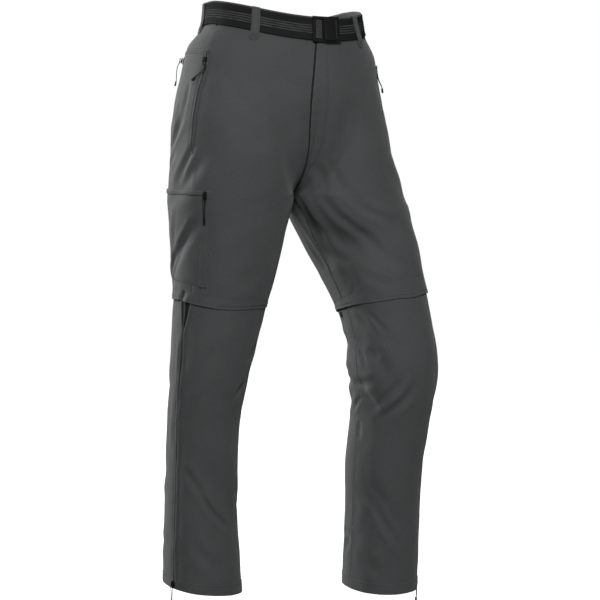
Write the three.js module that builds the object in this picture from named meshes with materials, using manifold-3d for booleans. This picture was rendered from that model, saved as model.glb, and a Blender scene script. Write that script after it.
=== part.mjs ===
// Zip-off walking trousers with a webbing belt, kept in their worn shape with nobody in them.
// Millimetres, +Z up. The front faces -Y and the wearer's left is +X. The origin is the middle
// of the waistband. Each half of the garment is one surface with two parameters. "around" runs
// from the centre front or inside leg seam (0), over the front and the outer side, to the centre
// back or inside leg seam (1). "level" is the height down the garment. Panels and all that lies
// on them are walls between two offsets from that surface.

import * as THREE from "three";
import { mergeVertices } from "three/addons/utils/BufferGeometryUtils.js";
import Module from "manifold-3d";

const wasm = await Module();
wasm.setup();

// Driving sizes
const clothThickness = 1.4;
const bandThickness = 2.2;
const webbingThickness = 1.8;
const trimThickness = 1.15; // zip tapes and other narrow strips
const seamGap = 0.4; // between pieces that meet at a seam
const layerGap = 0.35; // between a piece and what it lies on
const waistTop = 20;
const waistSeam = -20;
const crotchLevel = -310;
const forkStart = -60; // the seat starts to part into legs here
const shortsEnd = -488; // the shorts end here, at the zip that takes the legs off
const legStart = -503;
const flapSewn = -484;
const flapEdge = -511; // the flap hangs over that zip to here
const hemLevel = { right: -1027, left: -1035 };
const hemSlant = { right: 0.16, left: 0 }; // the right hem rises towards the outer side
const hemSlantStart = -880;
const shortsSideSeam = 0.437; // places around
const legSideSeam = 0.463;
const shortsEase = 2; // how far the shorts stand off the lower leg at the knee
const flapEase = 5;

// Waist line: the front dips under the buckle, and the right hip stands a little higher
const waistDip = 36;
const waistDipSharpness = 7;
const waistBackLift = 12;
const pelvisTilt = -0.03;
const waistShapeFadesBy = -200;
const waistSideDrop = 8;
const waistBackDrop = 16;
const waistDropFadesBy = -76;

const table = (columns, rows) =>
  rows.map((row) => Object.fromEntries(columns.map((name, i) => [name, row[i]])));

// Seat: width to the right and to the left, depth in front of the origin, and depth behind it
const seatSections = table(
  ["level", "right", "left", "front", "back"],
  [
    [20, 146, 138, 116, 122],
    [-20, 151, 147, 118, 130],
    [-65, 175, 169, 122, 152],
    [-120, 187, 173, 129, 165],
    [-180, 202, 177, 134, 166],
    [-240, 206, 184, 136, 158],
    [-310, 211, 208, 130, 140],
  ],
);

// Legs: the middle of each section, its half width, and its depth in front of the middle and behind it
const legColumns = ["level", "x", "y", "halfWidth", "front", "back"];
const legSections = {
  right: table(legColumns, [
    [-240, 103.2, 3, 103, 126, 134],
    [-310, 107, 4, 106.8, 118, 122],
    [-375, 114, 6, 98, 109, 109],
    [-430, 120, 8, 90.5, 101, 99],
    [-500, 128, 12, 79, 89, 86],
    [-560, 136, 16, 74, 84, 81],
    [-630, 144, 22, 67, 77, 78],
    [-720, 151, 30, 61, 70, 78],
    [-800, 152, 36, 61.5, 70, 78],
    [-890, 152, 41, 62.5, 70, 78],
    [-960, 150, 44, 66, 73, 78],
    [-1036, 147, 46, 69, 75, 80],
  ]),
  left: table(legColumns, [
    [-240, 99.2, -4, 99, 124, 134],
    [-310, 109, -15, 108.8, 114, 122],
    [-375, 128, -35, 97, 106, 108],
    [-430, 143, -55, 90, 97, 97],
    [-500, 155, -79, 79, 87, 87],
    [-560, 162, -95, 76.5, 84, 84],
    [-630, 166, -105, 77.5, 84, 86],
    [-720, 165, -98, 68, 76, 80],
    [-800, 158, -90, 66, 74, 78],
    [-890, 157, -86, 64.5, 72, 76],
    [-960, 156, -84, 64.5, 72, 76],
    [-1036, 154, -82, 65.5, 72, 77],
  ]),
};
const roundness = 0.92; // power on sine and cosine: under 1 squares a section a little

// The largest folds: each is a soft ridge or trough along a straight line between two places on a leg
const folds = table(
  ["side", "around0", "level0", "around1", "level1", "width", "depth"],
  [
    ["right", 0.41, -240, 0.52, -320, 14, -5],
    ["right", 0.4, -345, 0.56, -480, 15, -6],
    ["right", 0.33, -770, 0.15, -900, 22, -5],
    ["right", 0.5, -560, 0.47, -760, 22, 3],
    ["left", 0.98, -330, 0.2, -470, 20, -6],
    ["left", 0.06, -360, 0.3, -480, 20, -4],
    ["left", 0.0, -560, 0.16, -640, 14, -5],
    ["left", 0.96, -640, 0.1, -700, 14, -7],
    ["left", 0.02, -800, 0.28, -930, 20, -4],
  ],
);

// Sections between the rows follow a smooth curve through them.
function sectionAt(sections, level) {
  const last = sections.length - 1;
  let i = sections.findIndex((row) => row.level <= level) - 1;
  if (i < 0) i = level >= sections[0].level ? 0 : last - 1;
  const [before, a, b, after] = [i - 1, i, i + 1, i + 2].map(
    (k) => sections[Math.min(Math.max(k, 0), last)],
  );
  const span = b.level - a.level;
  const t = Math.min(Math.max((level - a.level) / span, 0), 1);
  const result = {};
  for (const key of Object.keys(a)) {
    const slopeA = ((b[key] - before[key]) / (b.level - before.level)) * span;
    const slopeB = ((after[key] - a[key]) / (after.level - a.level)) * span;
    result[key] =
      (2 * t ** 3 - 3 * t ** 2 + 1) * a[key] +
      (t ** 3 - 2 * t ** 2 + t) * slopeA +
      (3 * t ** 2 - 2 * t ** 3) * b[key] +
      (t ** 3 - t ** 2) * slopeB;
  }
  return result;
}

const smoothStep = (from, to, value) => {
  const t = Math.min(Math.max((value - from) / (to - from), 0), 1);
  return t * t * (3 - 2 * t);
};
const softened = (value) => Math.sign(value) * Math.abs(value) ** roundness;

// How far the seat's oval has parted into a leg: 0 at the waist, 1 at the crotch. It follows a
// quarter circle at the centre seams, and parts gently away from them.
function parting(around, level) {
  const t = Math.min(Math.max((forkStart - level) / (forkStart - crotchLevel), 0), 1);
  const centre = 1 - smoothStep(0.04, 0.24, Math.min(around, 1 - around));
  return smoothStep(0, 1, t) * (1 - centre) + (1 - Math.sqrt(1 - t * t)) * centre;
}

// The bare surface, before folds: a blend of half the seat's oval and the leg's closed loop.
function barePoint(side, around, level) {
  const sign = side === "right" ? -1 : 1;
  const seat = sectionAt(seatSections, Math.max(level, crotchLevel));
  const seatAngle = Math.PI * around;
  const seatOut = seat[side] * softened(Math.sin(seatAngle));
  const seatDepth = around < 0.5 ? seat.front : seat.back;
  const seatY = -seatDepth * softened(Math.cos(seatAngle));

  const leg = sectionAt(legSections[side], level);
  const legAngle = 2 * Math.PI * around;
  const legOut = leg.x - leg.halfWidth * softened(Math.cos(legAngle));
  const legDepth = Math.sin(legAngle) > 0 ? leg.front : leg.back;
  const legY = leg.y - legDepth * softened(Math.sin(legAngle));

  const share = parting(around, level);

  const waistShare = smoothStep(waistShapeFadesBy, waistSeam, level);
  const dip = Math.cos(seatAngle / 2) ** waistDipSharpness;
  const lift = waistBackLift - waistDip * dip;
  const dropShare = smoothStep(waistDropFadesBy, waistSeam, level);
  const drop = waistSideDrop * (1 - dip) + waistBackDrop * smoothStep(0.46, 0.8, around);
  const step = 12;
  const below = sectionAt(legSections[side], Math.min(level, crotchLevel) - step);
  const above = sectionAt(legSections[side], Math.min(level + step, crotchLevel));
  const run = above.level - below.level;
  const lean = smoothStep(crotchLevel, crotchLevel - 110, level);
  const leanX = ((above.x - below.x) / run) * lean;
  const leanY = ((above.y - below.y) / run) * lean;
  const shrink = 1 / Math.hypot(1, leanX, leanY);
  const tiltedX = leg.x + (legOut - leg.x) * shrink;
  const tiltedY = leg.y + (legY - leg.y) * shrink;
  const out = seatOut * (1 - share) + tiltedX * share + seamGap / 2;
  const y = seatY * (1 - share) + tiltedY * share;
  const tilt = leanX * (tiltedX - leg.x) + leanY * (tiltedY - leg.y);
  const slant = hemSlant[side] * smoothStep(hemSlantStart, hemLevel[side], level) * (out - leg.x);
  const z = level + waistShare * (lift + pelvisTilt * sign * out) - dropShare * drop - tilt + slant;
  return new THREE.Vector3(sign * out, y, z);
}

function bareNormal(side, around, level) {
  const da = 0.002;
  const dl = 1;
  const back = Math.max(around - da, 0);
  const forth = Math.min(around + da, 1);
  const along = barePoint(side, forth, level).sub(barePoint(side, back, level));
  const down = barePoint(side, around, level - dl).sub(barePoint(side, around, level + dl));
  const normal = new THREE.Vector3().crossVectors(down, along).normalize();
  return side === "right" ? normal.negate() : normal;
}

// Folds are measured on the flattened cloth: distance around in mm against distance down in mm.
const girth = 600;
const shortWay = (turn) => turn - Math.round(turn);
function foldDepth(side, around, level) {
  let depth = 0;
  for (const fold of folds) {
    if (fold.side !== side) continue;
    const dx = shortWay(fold.around1 - fold.around0) * girth;
    const dy = fold.level1 - fold.level0;
    const px = shortWay(around - fold.around0) * girth;
    const py = level - fold.level0;
    const t = Math.min(Math.max((px * dx + py * dy) / (dx * dx + dy * dy), 0), 1);
    const away = Math.hypot(px - t * dx, py - t * dy);
    const swell = Math.sin(Math.PI * (0.1 + 0.8 * t));
    depth += fold.depth * Math.exp(-((away / fold.width) ** 2)) * swell;
  }
  return depth;
}

// The cloth's outer surface, moved out by offset.
function clothPoint(side, around, level, offset = 0) {
  const depth = foldDepth(side, around, level) + offset;
  return barePoint(side, around, level).addScaledVector(bareNormal(side, around, level), depth);
}

// The shorts and the flap stand further off towards the knee.
const eased = (ease, level) => ease * smoothStep(-400, shortsEnd, level);
const shortsSkin = (level) => eased(shortsEase, level);

// A closed wall from a grid of outer points and a grid of inner points, each a list of rows
function wall(outer, inner, flip) {
  const rows = outer.length;
  const columns = outer[0].length;
  const positions = [];
  for (const row of [...outer, ...inner]) for (const p of row) positions.push(p.x, p.y, p.z);
  const index = [];
  const quad = (a, b, c, d) => index.push(...(flip ? [a, c, b, a, d, c] : [a, b, c, a, c, d]));
  const o = (i, j) => i * columns + j;
  const n = (i, j) => rows * columns + i * columns + j;
  for (let i = 0; i < rows - 1; i++)
    for (let j = 0; j < columns - 1; j++) {
      quad(o(i, j), o(i, j + 1), o(i + 1, j + 1), o(i + 1, j));
      quad(n(i, j), n(i + 1, j), n(i + 1, j + 1), n(i, j + 1));
    }
  const [bottom, side] = [rows - 1, columns - 1];
  for (let j = 0; j < side; j++) {
    quad(o(0, j), n(0, j), n(0, j + 1), o(0, j + 1));
    quad(o(bottom, j), o(bottom, j + 1), n(bottom, j + 1), n(bottom, j));
  }
  for (let i = 0; i < bottom; i++) {
    quad(o(i, 0), o(i + 1, 0), n(i + 1, 0), n(i, 0));
    quad(o(i, side), n(i, side), n(i + 1, side), o(i + 1, side));
  }
  const geometry = new THREE.BufferGeometry();
  geometry.setAttribute("position", new THREE.Float32BufferAttribute(positions, 3));
  geometry.setIndex(index);
  geometry.computeVertexNormals();
  return geometry;
}

// A piece of cloth: its places at its levels, from an inner to an outer offset off the surface.
// The offsets, and how far it drifts around, are functions of the level. Places run in the direction of
// the right side's "around".
function cloth({ places, levels, inner, thickness = clothThickness, drift = () => 0 }) {
  const grid = (extra) =>
    levels.map((level) =>
      places.map(({ side, around }) =>
        clothPoint(side, around + drift(level), level, inner(level) + extra),
      ),
    );
  return wall(grid(thickness), grid(0), false);
}

const steps = (from, to, count) =>
  Array.from({ length: count + 1 }, (_, i) => from + ((to - from) * i) / count);

// From one value to another, through those of the list that lie well between them
function through(from, to, list, clear = 0.004) {
  const low = Math.min(from, to) + clear;
  const high = Math.max(from, to) - clear;
  return [from, ...list.filter((value) => value > low && value < high), to];
}

// Places on one leg or side of the seat. Past 1 they go on over the inside leg seam.
function onSide(side, arounds) {
  const places = arounds.map((value) => ({ side, around: value > 1 ? value - 1 : value }));
  return side === "right" ? places : places.reverse();
}

// Places round the waist: 0 is the centre front, 0 to 1 the right side, 1 to 2 the left side.
const roundWaist = (turns) =>
  turns.map((turn) => {
    if (turn > 1) return { side: "left", around: 2 - turn };
    return turn < 0 ? { side: "left", around: -turn } : { side: "right", around: turn };
  });

// Millimetres of cloth for one whole "around" at a place
function pace(side, around, level) {
  const reach = 0.004;
  const [a, b] = [Math.max(around - reach, 0), Math.min(around + reach, 1)];
  return barePoint(side, a, level).distanceTo(barePoint(side, b, level)) / (b - a);
}

// The same list with its two ends drawn in by half a seam gap
function seamed(side, list, level) {
  const last = list.length - 1;
  const drawn = (around) => seamGap / 2 / pace(side, around, level);
  return list.map((a, i) => (i === 0 ? a + drawn(a) : i === last ? a - drawn(a) : a));
}

// Rows and columns that the panels share with what lies on them
const seatRows = steps(0, 1, 9).map(
  (t) => forkStart + (crotchLevel - forkStart) * Math.sin((t * Math.PI) / 2),
);
const bandRows = [waistTop, 7, -7, waistSeam + seamGap / 2];
const handZipEnd = -236;
const backZipLevel = -88;
const shortsRows = [
  ...[waistSeam - seamGap / 2, -25.5, -35, -46],
  ...seatRows,
  backZipLevel,
  handZipEnd,
  ...[-337, -367, -397, -427, -455, -474, flapSewn, shortsEnd],
].sort((a, b) => b - a);
const legRows = [legStart, -512, ...steps(-540, -1000, 14)];
const shortsFrontPlaces = [0, 0.02, 0.05, 0.09, 0.14, 0.19, 0.24, 0.3, 0.35, 0.395, shortsSideSeam];
const shortsBackPlaces = [
  ...[shortsSideSeam, 0.47, 0.51, 0.55, 0.6, 0.65, 0.7],
  ...[0.76, 0.82, 0.88, 0.94, 1],
];
const shortsPlaces = [...shortsFrontPlaces, ...shortsBackPlaces.slice(1)];
const waistPlaces = [...shortsPlaces, ...shortsPlaces.slice(0, -1).map((a) => 2 - a).reverse()];
const legFrontPlaces = [0, 0.05, 0.1, 0.15, 0.2, 0.25, 0.3, 0.36, 0.42, legSideSeam];
const legBackPlaces = [legSideSeam, 0.5, 0.55, 0.61, 0.67, 0.73, 0.79, 0.86, 0.93, 1];
const legPlaces = [...legFrontPlaces, ...legBackPlaces.slice(1)];

const finishes = {
  cloth: { color: 0x46484a, roughness: 0.85, metalness: 0 },
  webbing: { color: 0x26282a, roughness: 0.8, metalness: 0 },
  zipTape: { color: 0x1d1f21, roughness: 0.7, metalness: 0 },
  plastic: { color: 0x151617, roughness: 0.45, metalness: 0 },
  sliderMetal: { color: 0x18191b, roughness: 0.4, metalness: 0.6 },
  cord: { color: 0x121314, roughness: 0.8, metalness: 0 },
};
const materialOf = (finish) => new THREE.MeshStandardMaterial(finishes[finish]);

const trousers = new THREE.Group();
function add(name, geometry, finish, parent = trousers) {
  const mesh = new THREE.Mesh(geometry, materialOf(finish));
  mesh.name = name;
  parent.add(mesh);
  return mesh;
}
const sides = ["right", "left"];

// Shorts: a front and a back for each side
const shortsInner = (level) => shortsSkin(level) - clothThickness;
for (const side of sides)
  for (const [name, list] of [["front", shortsFrontPlaces], ["back", shortsBackPlaces]]) {
    const places = onSide(side, seamed(side, list, -150));
    add(`${name}_${side}`, cloth({ places, levels: shortsRows, inner: shortsInner }), "cloth");
  }

// Lower legs: a front and a back each, hanging from the knee zip
for (const side of sides)
  for (const [name, list] of [["leg_front", legFrontPlaces], ["leg_back", legBackPlaces]]) {
    const places = onSide(side, seamed(side, list, -700));
    const levels = [...legRows, hemLevel[side]];
    add(`${name}_${side}`, cloth({ places, levels, inner: () => -clothThickness }), "cloth");
  }

// Knee zip: a ring of tape between the shorts and the leg, under the flap. Both open at the side seam.
const kneeZipEdge = 0.5;
const flapThickness = 1.4;
const flapOpening = 0.003;
for (const side of sides) {
  const ring = (seam, open, list) => {
    const twice = [...list, ...list.slice(1).map((a) => a + 1)];
    return onSide(side, through(seam + open, seam + 1 - open, twice));
  };
  const zipLevels = [shortsEnd - kneeZipEdge, (shortsEnd + legStart) / 2, legStart + kneeZipEdge];
  const zipPlaces = ring(legSideSeam, 0.001, legPlaces);
  add(
    `knee_zip_${side}`,
    cloth({
      places: zipPlaces,
      levels: zipLevels,
      inner: () => -trimThickness,
      thickness: trimThickness,
    }),
    "zipTape",
  );
  const flare = flapEase - shortsEase - flapThickness;
  const flapInner = (level) =>
    shortsSkin(level) + layerGap + flare * smoothStep(shortsEnd, flapEdge, level);
  const flapLevels = [flapSewn, shortsEnd, -499, flapEdge];
  const flapPlaces = ring(shortsSideSeam, flapOpening, shortsPlaces);
  add(
    `knee_flap_${side}`,
    cloth({
      places: flapPlaces,
      levels: flapLevels,
      inner: flapInner,
      thickness: flapThickness,
    }),
    "cloth",
  );
}

// Waistband, in two halves that meet at the front closure and at the centre back
const bandInner = -clothThickness;
const bandOuter = bandInner + bandThickness;
for (const side of sides)
  add(
    `waistband_${side}`,
    cloth({
      places: onSide(side, seamed(side, shortsPlaces, 0)),
      levels: bandRows,
      inner: () => bandInner,
      thickness: bandThickness,
    }),
    "cloth",
  );

// Belt: webbing all round, its two ends under the buckle
const beltInner = bandOuter + layerGap;
const beltOuter = beltInner + webbingThickness;
const [beltTop, beltBottom] = [17, -21];
const beltEnds = { under: -0.04, over: 1.955 };
add(
  "belt",
  cloth({
    places: roundWaist(through(beltEnds.under, beltEnds.over, [-0.02, ...waistPlaces])),
    levels: [beltTop, 7, -7, beltBottom],
    inner: () => beltInner,
    thickness: webbingThickness,
  }),
  "webbing",
);

// Belt loops, sewn to the top of the waistband and to the shorts under the belt
const loopWidth = 17;
const loopThickness = 1.3;
const loopProfile = table(
  ["level", "inner"],
  [
    [19.8, bandOuter + 0.9],
    [17.4, beltOuter + layerGap],
    [7, beltOuter + layerGap],
    [-7, beltOuter + layerGap],
    [-21.4, beltOuter + layerGap],
    [-25.5, layerGap + 0.15],
    [-35, layerGap + 0.15],
  ],
);
const loopTurns = table(
  ["name", "turn"],
  [
    ["front_right", 0.25],
    ["side_right", 0.565],
    ["back", 1],
    ["side_left", 2 - 0.565],
    ["front_left", 2 - 0.215],
  ],
);
for (const { name, turn } of loopTurns) {
  const { side, around } = roundWaist([turn])[0];
  const half = loopWidth / 2 / pace(side, Math.min(around, 0.99), 0);
  add(
    `belt_loop_${name}`,
    cloth({
      places: roundWaist(through(turn - half, turn + half, waistPlaces)),
      levels: loopProfile.map((row) => row.level),
      inner: (level) => loopProfile.find((row) => row.level === level).inner,
      thickness: loopThickness,
    }),
    "cloth",
  );
}

// Buckle: a frame over the belt, a ridged bar in its window, and a flat plate over its other half
const buckle = { right: -13, left: 41, top: 20.5, bottom: -24, thickness: 3 };
const buckleWindow = { right: -7.5, left: 6.5, top: 15.5, bottom: -19 };
const buckleBar = { right: -5.5, left: 4.5, top: 14.5, bottom: -18, thickness: 2 };
const bucklePlate = { right: 7, left: 34.5, top: 17.5, bottom: -21, thickness: 2 };

// The turn at which the front of the waist is this far to the left
function turnAt(x) {
  const side = x < 0 ? "right" : "left";
  let [low, high] = [0, 0.4];
  for (let i = 0; i < 30; i++) {
    const middle = (low + high) / 2;
    if (Math.abs(barePoint(side, middle, 0).x) < Math.abs(x)) low = middle;
    else high = middle;
  }
  return x < 0 ? low : -low;
}
function slab({ right, left, top, bottom }, inner, thickness) {
  const turns = [-0.09, -0.05, -0.02, ...waistPlaces];
  return cloth({
    places: roundWaist(through(turnAt(left), turnAt(right), turns)),
    levels: through(top, bottom, [7, -7], 0.5),
    inner: () => inner,
    thickness,
  });
}
function toSolid(geometry) {
  const bare = new THREE.BufferGeometry();
  bare.setAttribute("position", geometry.attributes.position);
  bare.setIndex(geometry.index);
  const merged = mergeVertices(bare, 1e-4);
  return new wasm.Manifold(
    new wasm.Mesh({
      numProp: 3,
      vertProperties: new Float32Array(merged.attributes.position.array),
      triVerts: new Uint32Array(merged.index.array),
    }),
  );
}
function toGeometry(solid) {
  const mesh = solid.getMesh();
  const geometry = new THREE.BufferGeometry();
  geometry.setAttribute("position", new THREE.BufferAttribute(mesh.vertProperties, 3));
  geometry.setIndex(new THREE.BufferAttribute(mesh.triVerts, 1));
  geometry.computeVertexNormals();
  return geometry;
}
const buckleInner = beltOuter + layerGap;
const frameSolid = toSolid(slab(buckle, buckleInner, buckle.thickness)).subtract(
  toSolid(slab(buckleWindow, buckleInner - 2, buckle.thickness + 4)),
);
add("buckle_frame", toGeometry(frameSolid), "plastic");
add("buckle_bar", slab(buckleBar, buckleInner, buckleBar.thickness), "plastic");
const plateInner = buckleInner + buckle.thickness + layerGap;
add("buckle_plate", slab(bucklePlate, plateInner, bucklePlate.thickness), "plastic");

// A narrow strip that lies on the cloth, up and down it at one place around
function strip({ side, around, from, to, width, base, rows, skin, drift }) {
  const half = width / 2 / pace(side, around, (from + to) / 2);
  return cloth({
    places: onSide(side, through(around - half, around + half, base, 0.001)),
    levels: through(from, to, rows, 4),
    inner: (level) => skin(level) + layerGap,
    thickness: trimThickness,
    drift,
  });
}

// Zips: hand pockets in the side seams, the thigh pocket's, and the one down each lower leg
const handZip = { from: -72, to: handZipEnd, width: 9 };
const handDrifts = table(
  ["level", "around"],
  [[-72, -0.016], [-88, -0.018], [-115, -0.011], [-138, 0], [-168, 0.004], [-202, 0.012], [handZipEnd, 0.024]],
);

// How far the right hand zip wanders from its seam, straight between the rows of its table
function handDrift(side, level) {
  if (side === "left") return 0;
  const i = handDrifts.findIndex((row, k) => k > 0 && level >= row.level);
  const [a, b] = [handDrifts[i - 1], handDrifts[i]];
  return a.around + ((b.around - a.around) * (level - a.level)) / (b.level - a.level);
}
const thighZip = { around: 0.392, from: -303, to: -474, width: 16 };
const legZip = { from: -515, width: 12 };
for (const side of sides) {
  const inSeam = {
    side,
    around: shortsSideSeam,
    base: shortsPlaces,
    rows: shortsRows,
    skin: shortsSkin,
  };
  const drift = (level) => handDrift(side, level);
  add(`hand_zip_${side}`, strip({ ...inSeam, ...handZip, drift }), "zipTape");
  const down = { side, around: legSideSeam, base: legPlaces, rows: legRows, skin: () => 0 };
  add(`leg_zip_${side}`, strip({ ...down, ...legZip, to: hemLevel[side] }), "zipTape");
}
const onThigh = { side: "right", base: shortsPlaces, rows: shortsRows, skin: shortsSkin };
add("thigh_zip", strip({ ...onThigh, ...thighZip }), "zipTape");

// Thigh pocket: a patch over the side seam, behind its zip, with a raised top edge
const patch = { front: 0.408, back: 0.605, top: -306, bottom: -474 };
const pocketEdge = { top: -303, bottom: -310.5 };
const raise = clothThickness + layerGap;
const patchPlaces = onSide("right", through(patch.front, patch.back, shortsPlaces, 0.001));
add(
  "thigh_pocket",
  cloth({
    places: patchPlaces,
    levels: through(patch.top, patch.bottom, shortsRows, 2),
    inner: (level) => shortsSkin(level) + layerGap,
  }),
  "cloth",
);
add(
  "thigh_pocket_edge",
  cloth({
    places: patchPlaces,
    levels: through(pocketEdge.top, pocketEdge.bottom, [...shortsRows, patch.top], 0.5),
    inner: (level) => layerGap + raise * smoothStep(patch.top + 2.5, patch.top + 0.5, level),
  }),
  "cloth",
);

// Back pocket: a zip across the right seat
const backZip = { from: 0.625, to: 0.83, top: backZipLevel + 4, bottom: backZipLevel - 4 };
add(
  "back_zip",
  cloth({
    places: onSide("right", through(backZip.from, backZip.to, shortsPlaces)),
    levels: through(backZip.top, backZip.bottom, shortsRows, 1),
    inner: () => layerGap,
    thickness: trimThickness,
  }),
  "zipTape",
);

// Sliders, each with a loop of thin cord through its bridge and a moulded grip on the loop's two ends
const slider = {
  width: 8,
  length: 9.5,
  base: 1.8,
  hole: 2.5,
  bridge: 1.2,
  bridgeWidth: 1.3,
  post: 1.3,
  span: 7,
};
const stripTop = layerGap + trimThickness;
const cordDiameter = 1.3;
const cordRise = layerGap + slider.base + 0.3 + cordDiameter / 2; // the loop's height, in the bridge
const loopTopRadius = 2 * cordDiameter;
const grip = { top: 3.8, bottom: 4.6, length: 9, thickness: 2.8 };

// Each pull's middle line runs from the bridge to the grip: across the cloth (towards the back),
// down, and out.
const pullRows = (rows) => table(["across", "down", "out"], rows);
const pulls = [
  {
    name: "hand_right",
    place: { side: "right", around: shortsSideSeam + handDrift("right", -86), level: -86 },
    route: pullRows([[0, 4, 4.4], [-6, 10, 4.2], [-7, 17, 4.6], [-2, 24, 5.4], [4, 29, 6.2], [8, 33, 6.6]]),
  },
  {
    name: "hand_left",
    place: { side: "left", around: shortsSideSeam, level: -86 },
    route: pullRows([[0, 4, 4.4], [0, 14, 4.8], [-2, 24, 6], [-4, 32, 8.4], [-5, 38, 10]]),
  },
  {
    name: "back",
    place: { side: "right", around: 0.635, level: backZipLevel },
    route: pullRows([[0, 4, 5.2], [0, 12, 7], [0, 22, 6.4], [-1, 30, 5], [-1, 37, 3.8]]),
  },
  {
    name: "thigh",
    place: { side: "right", around: 0.4, level: -312 },
    route: pullRows([[0, 4, 4.4], [0, 12, 3.6], [1, 22, 3], [1, 30, 2.8], [1, 37, 2.8]]),
  },
  {
    name: "leg_right",
    place: { side: "right", around: legSideSeam, level: -1017 },
    route: pullRows([[0, 4, 4.4], [0, 12, 4], [0, 22, 3.8], [0, 30, 3.8], [0, 37, 3.8]]),
  },
  {
    name: "leg_left",
    place: { side: "left", around: legSideSeam, level: -1025 },
    route: pullRows([[0, 4, 4.4], [0, 12, 4], [0, 22, 3.8], [0, 30, 3.8], [0, 37, 3.8]]),
  },
];

// The frame at a place: its origin on the strip, x towards the back, y up the cloth, and z out of it
function frameAt({ side, around, level }) {
  const z = bareNormal(side, around, level);
  const across = barePoint(side, around + 0.01, level).sub(barePoint(side, around - 0.01, level));
  const handed = side === "right" ? -1 : 1;
  const x = across.addScaledVector(z, -across.dot(z)).normalize().multiplyScalar(handed);
  const y = new THREE.Vector3().crossVectors(z, x);
  const origin = clothPoint(side, around, level, stripTop);
  return { matrix: new THREE.Matrix4().makeBasis(x, y, z).setPosition(origin), handed };
}

const box = (w, l, t, x, y, z) =>
  wasm.Manifold.cube([w, l, t], true).translate([x, y, z + t / 2]);

function sliderGeometry() {
  const { width, length, base, hole, bridge, bridgeWidth, post, span } = slider;
  const top = layerGap + base + hole;
  const ends = (span - post) / 2;
  const body = [
    box(width, length, base, 0, 0, layerGap),
    box(bridgeWidth, post, hole + bridge, 0, ends, layerGap + base - 0.01),
    box(bridgeWidth, post, hole + bridge, 0, -ends, layerGap + base - 0.01),
    box(bridgeWidth, span, bridge, 0, 0, top),
  ];
  return toGeometry(wasm.Manifold.union(body));
}

function gripGeometry() {
  const { top, bottom, length, thickness } = grip;
  const outline = new THREE.Shape([
    new THREE.Vector2(-top / 2, 0),
    new THREE.Vector2(-bottom / 2, -length + 1),
    new THREE.Vector2(-bottom / 2 + 1, -length),
    new THREE.Vector2(bottom / 2 - 1, -length),
    new THREE.Vector2(bottom / 2, -length + 1),
    new THREE.Vector2(top / 2, 0),
  ]);
  return new THREE.ExtrudeGeometry(outline, { depth: thickness, bevelEnabled: false });
}

// The loop: up one strand from the grip, round through the bridge, and down the other
function loopPath(route) {
  const points = route.map((p) => new THREE.Vector3(p.x, -p.down, p.out));
  const middle = new THREE.CatmullRomCurve3(points);
  const least = cordDiameter / 2 + 0.25;
  const strand = (sign) =>
    steps(0.06, 1, 8).map((t) => {
      const p = middle.getPoint(t);
      const along = middle.getTangent(t);
      const spread = least + (loopTopRadius - least) * (1 - t) ** 1.5;
      const aside = new THREE.Vector3(-along.y, along.x, 0).normalize();
      return p.addScaledVector(aside, sign * spread);
    });
  const turn = steps(0, Math.PI, 6).map(
    (angle) =>
      new THREE.Vector3(
        -loopTopRadius * Math.cos(angle),
        -1.4 + loopTopRadius * Math.sin(angle),
        cordRise,
      ),
  );
  const all = [...strand(-1).reverse(), ...turn, ...strand(1)];
  return new THREE.CatmullRomCurve3(all, false, "centripetal");
}

const cordCorners = steps(0, 1.75 * Math.PI, 7).map((angle) => {
  const corner = new THREE.Vector2(Math.cos(angle), Math.sin(angle));
  return corner.multiplyScalar(cordDiameter / 2);
});
const cordSection = new THREE.Shape(cordCorners);

for (const { name, place, route: rows } of pulls) {
  const { matrix, handed } = frameAt(place);
  const route = rows.map((row) => ({ ...row, x: row.across * handed }));
  const group = new THREE.Group();
  matrix.decompose(group.position, group.quaternion, group.scale);
  trousers.add(group);
  add(`slider_${name}`, sliderGeometry(), "sliderMetal", group);
  const cord = new THREE.ExtrudeGeometry(cordSection, { steps: 22, extrudePath: loopPath(route) });
  add(`pull_cord_${name}`, cord, "cord", group);
  const end = route[route.length - 1];
  const before = route[route.length - 2];
  const piece = add(`pull_grip_${name}`, gripGeometry(), "plastic", group);
  const slope = Math.atan2(end.x - before.x, end.down - before.down);
  piece.rotation.z = slope;
  piece.position.set(end.x, -end.down - layerGap, end.out - grip.thickness / 2);
}

export default trousers;
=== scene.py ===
import math

import bpy
import numpy as np
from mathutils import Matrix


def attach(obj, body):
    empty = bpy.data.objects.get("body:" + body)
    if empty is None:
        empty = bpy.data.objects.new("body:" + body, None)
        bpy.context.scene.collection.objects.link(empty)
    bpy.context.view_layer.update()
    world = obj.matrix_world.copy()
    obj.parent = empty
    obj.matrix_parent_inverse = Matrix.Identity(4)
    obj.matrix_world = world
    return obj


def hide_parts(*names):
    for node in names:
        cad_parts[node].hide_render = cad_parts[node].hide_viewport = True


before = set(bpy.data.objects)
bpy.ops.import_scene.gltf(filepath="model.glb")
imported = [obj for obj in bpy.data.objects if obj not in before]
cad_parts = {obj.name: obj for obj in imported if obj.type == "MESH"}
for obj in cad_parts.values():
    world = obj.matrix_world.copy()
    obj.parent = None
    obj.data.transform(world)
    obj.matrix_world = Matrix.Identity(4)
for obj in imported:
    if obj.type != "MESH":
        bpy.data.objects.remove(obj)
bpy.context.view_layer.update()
scene = bpy.context.scene
mm = 0.001
print("frame loaded:", len(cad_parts), "solids")

# Camera
viewpoint = {
    "azimuth": -30,  # degrees round the garment from straight in front
    "elevation": 5.6,
    "distance": 3.06,
    "lens": 101,
    "target": (0.0236, -0.0136, -0.506),
}


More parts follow.
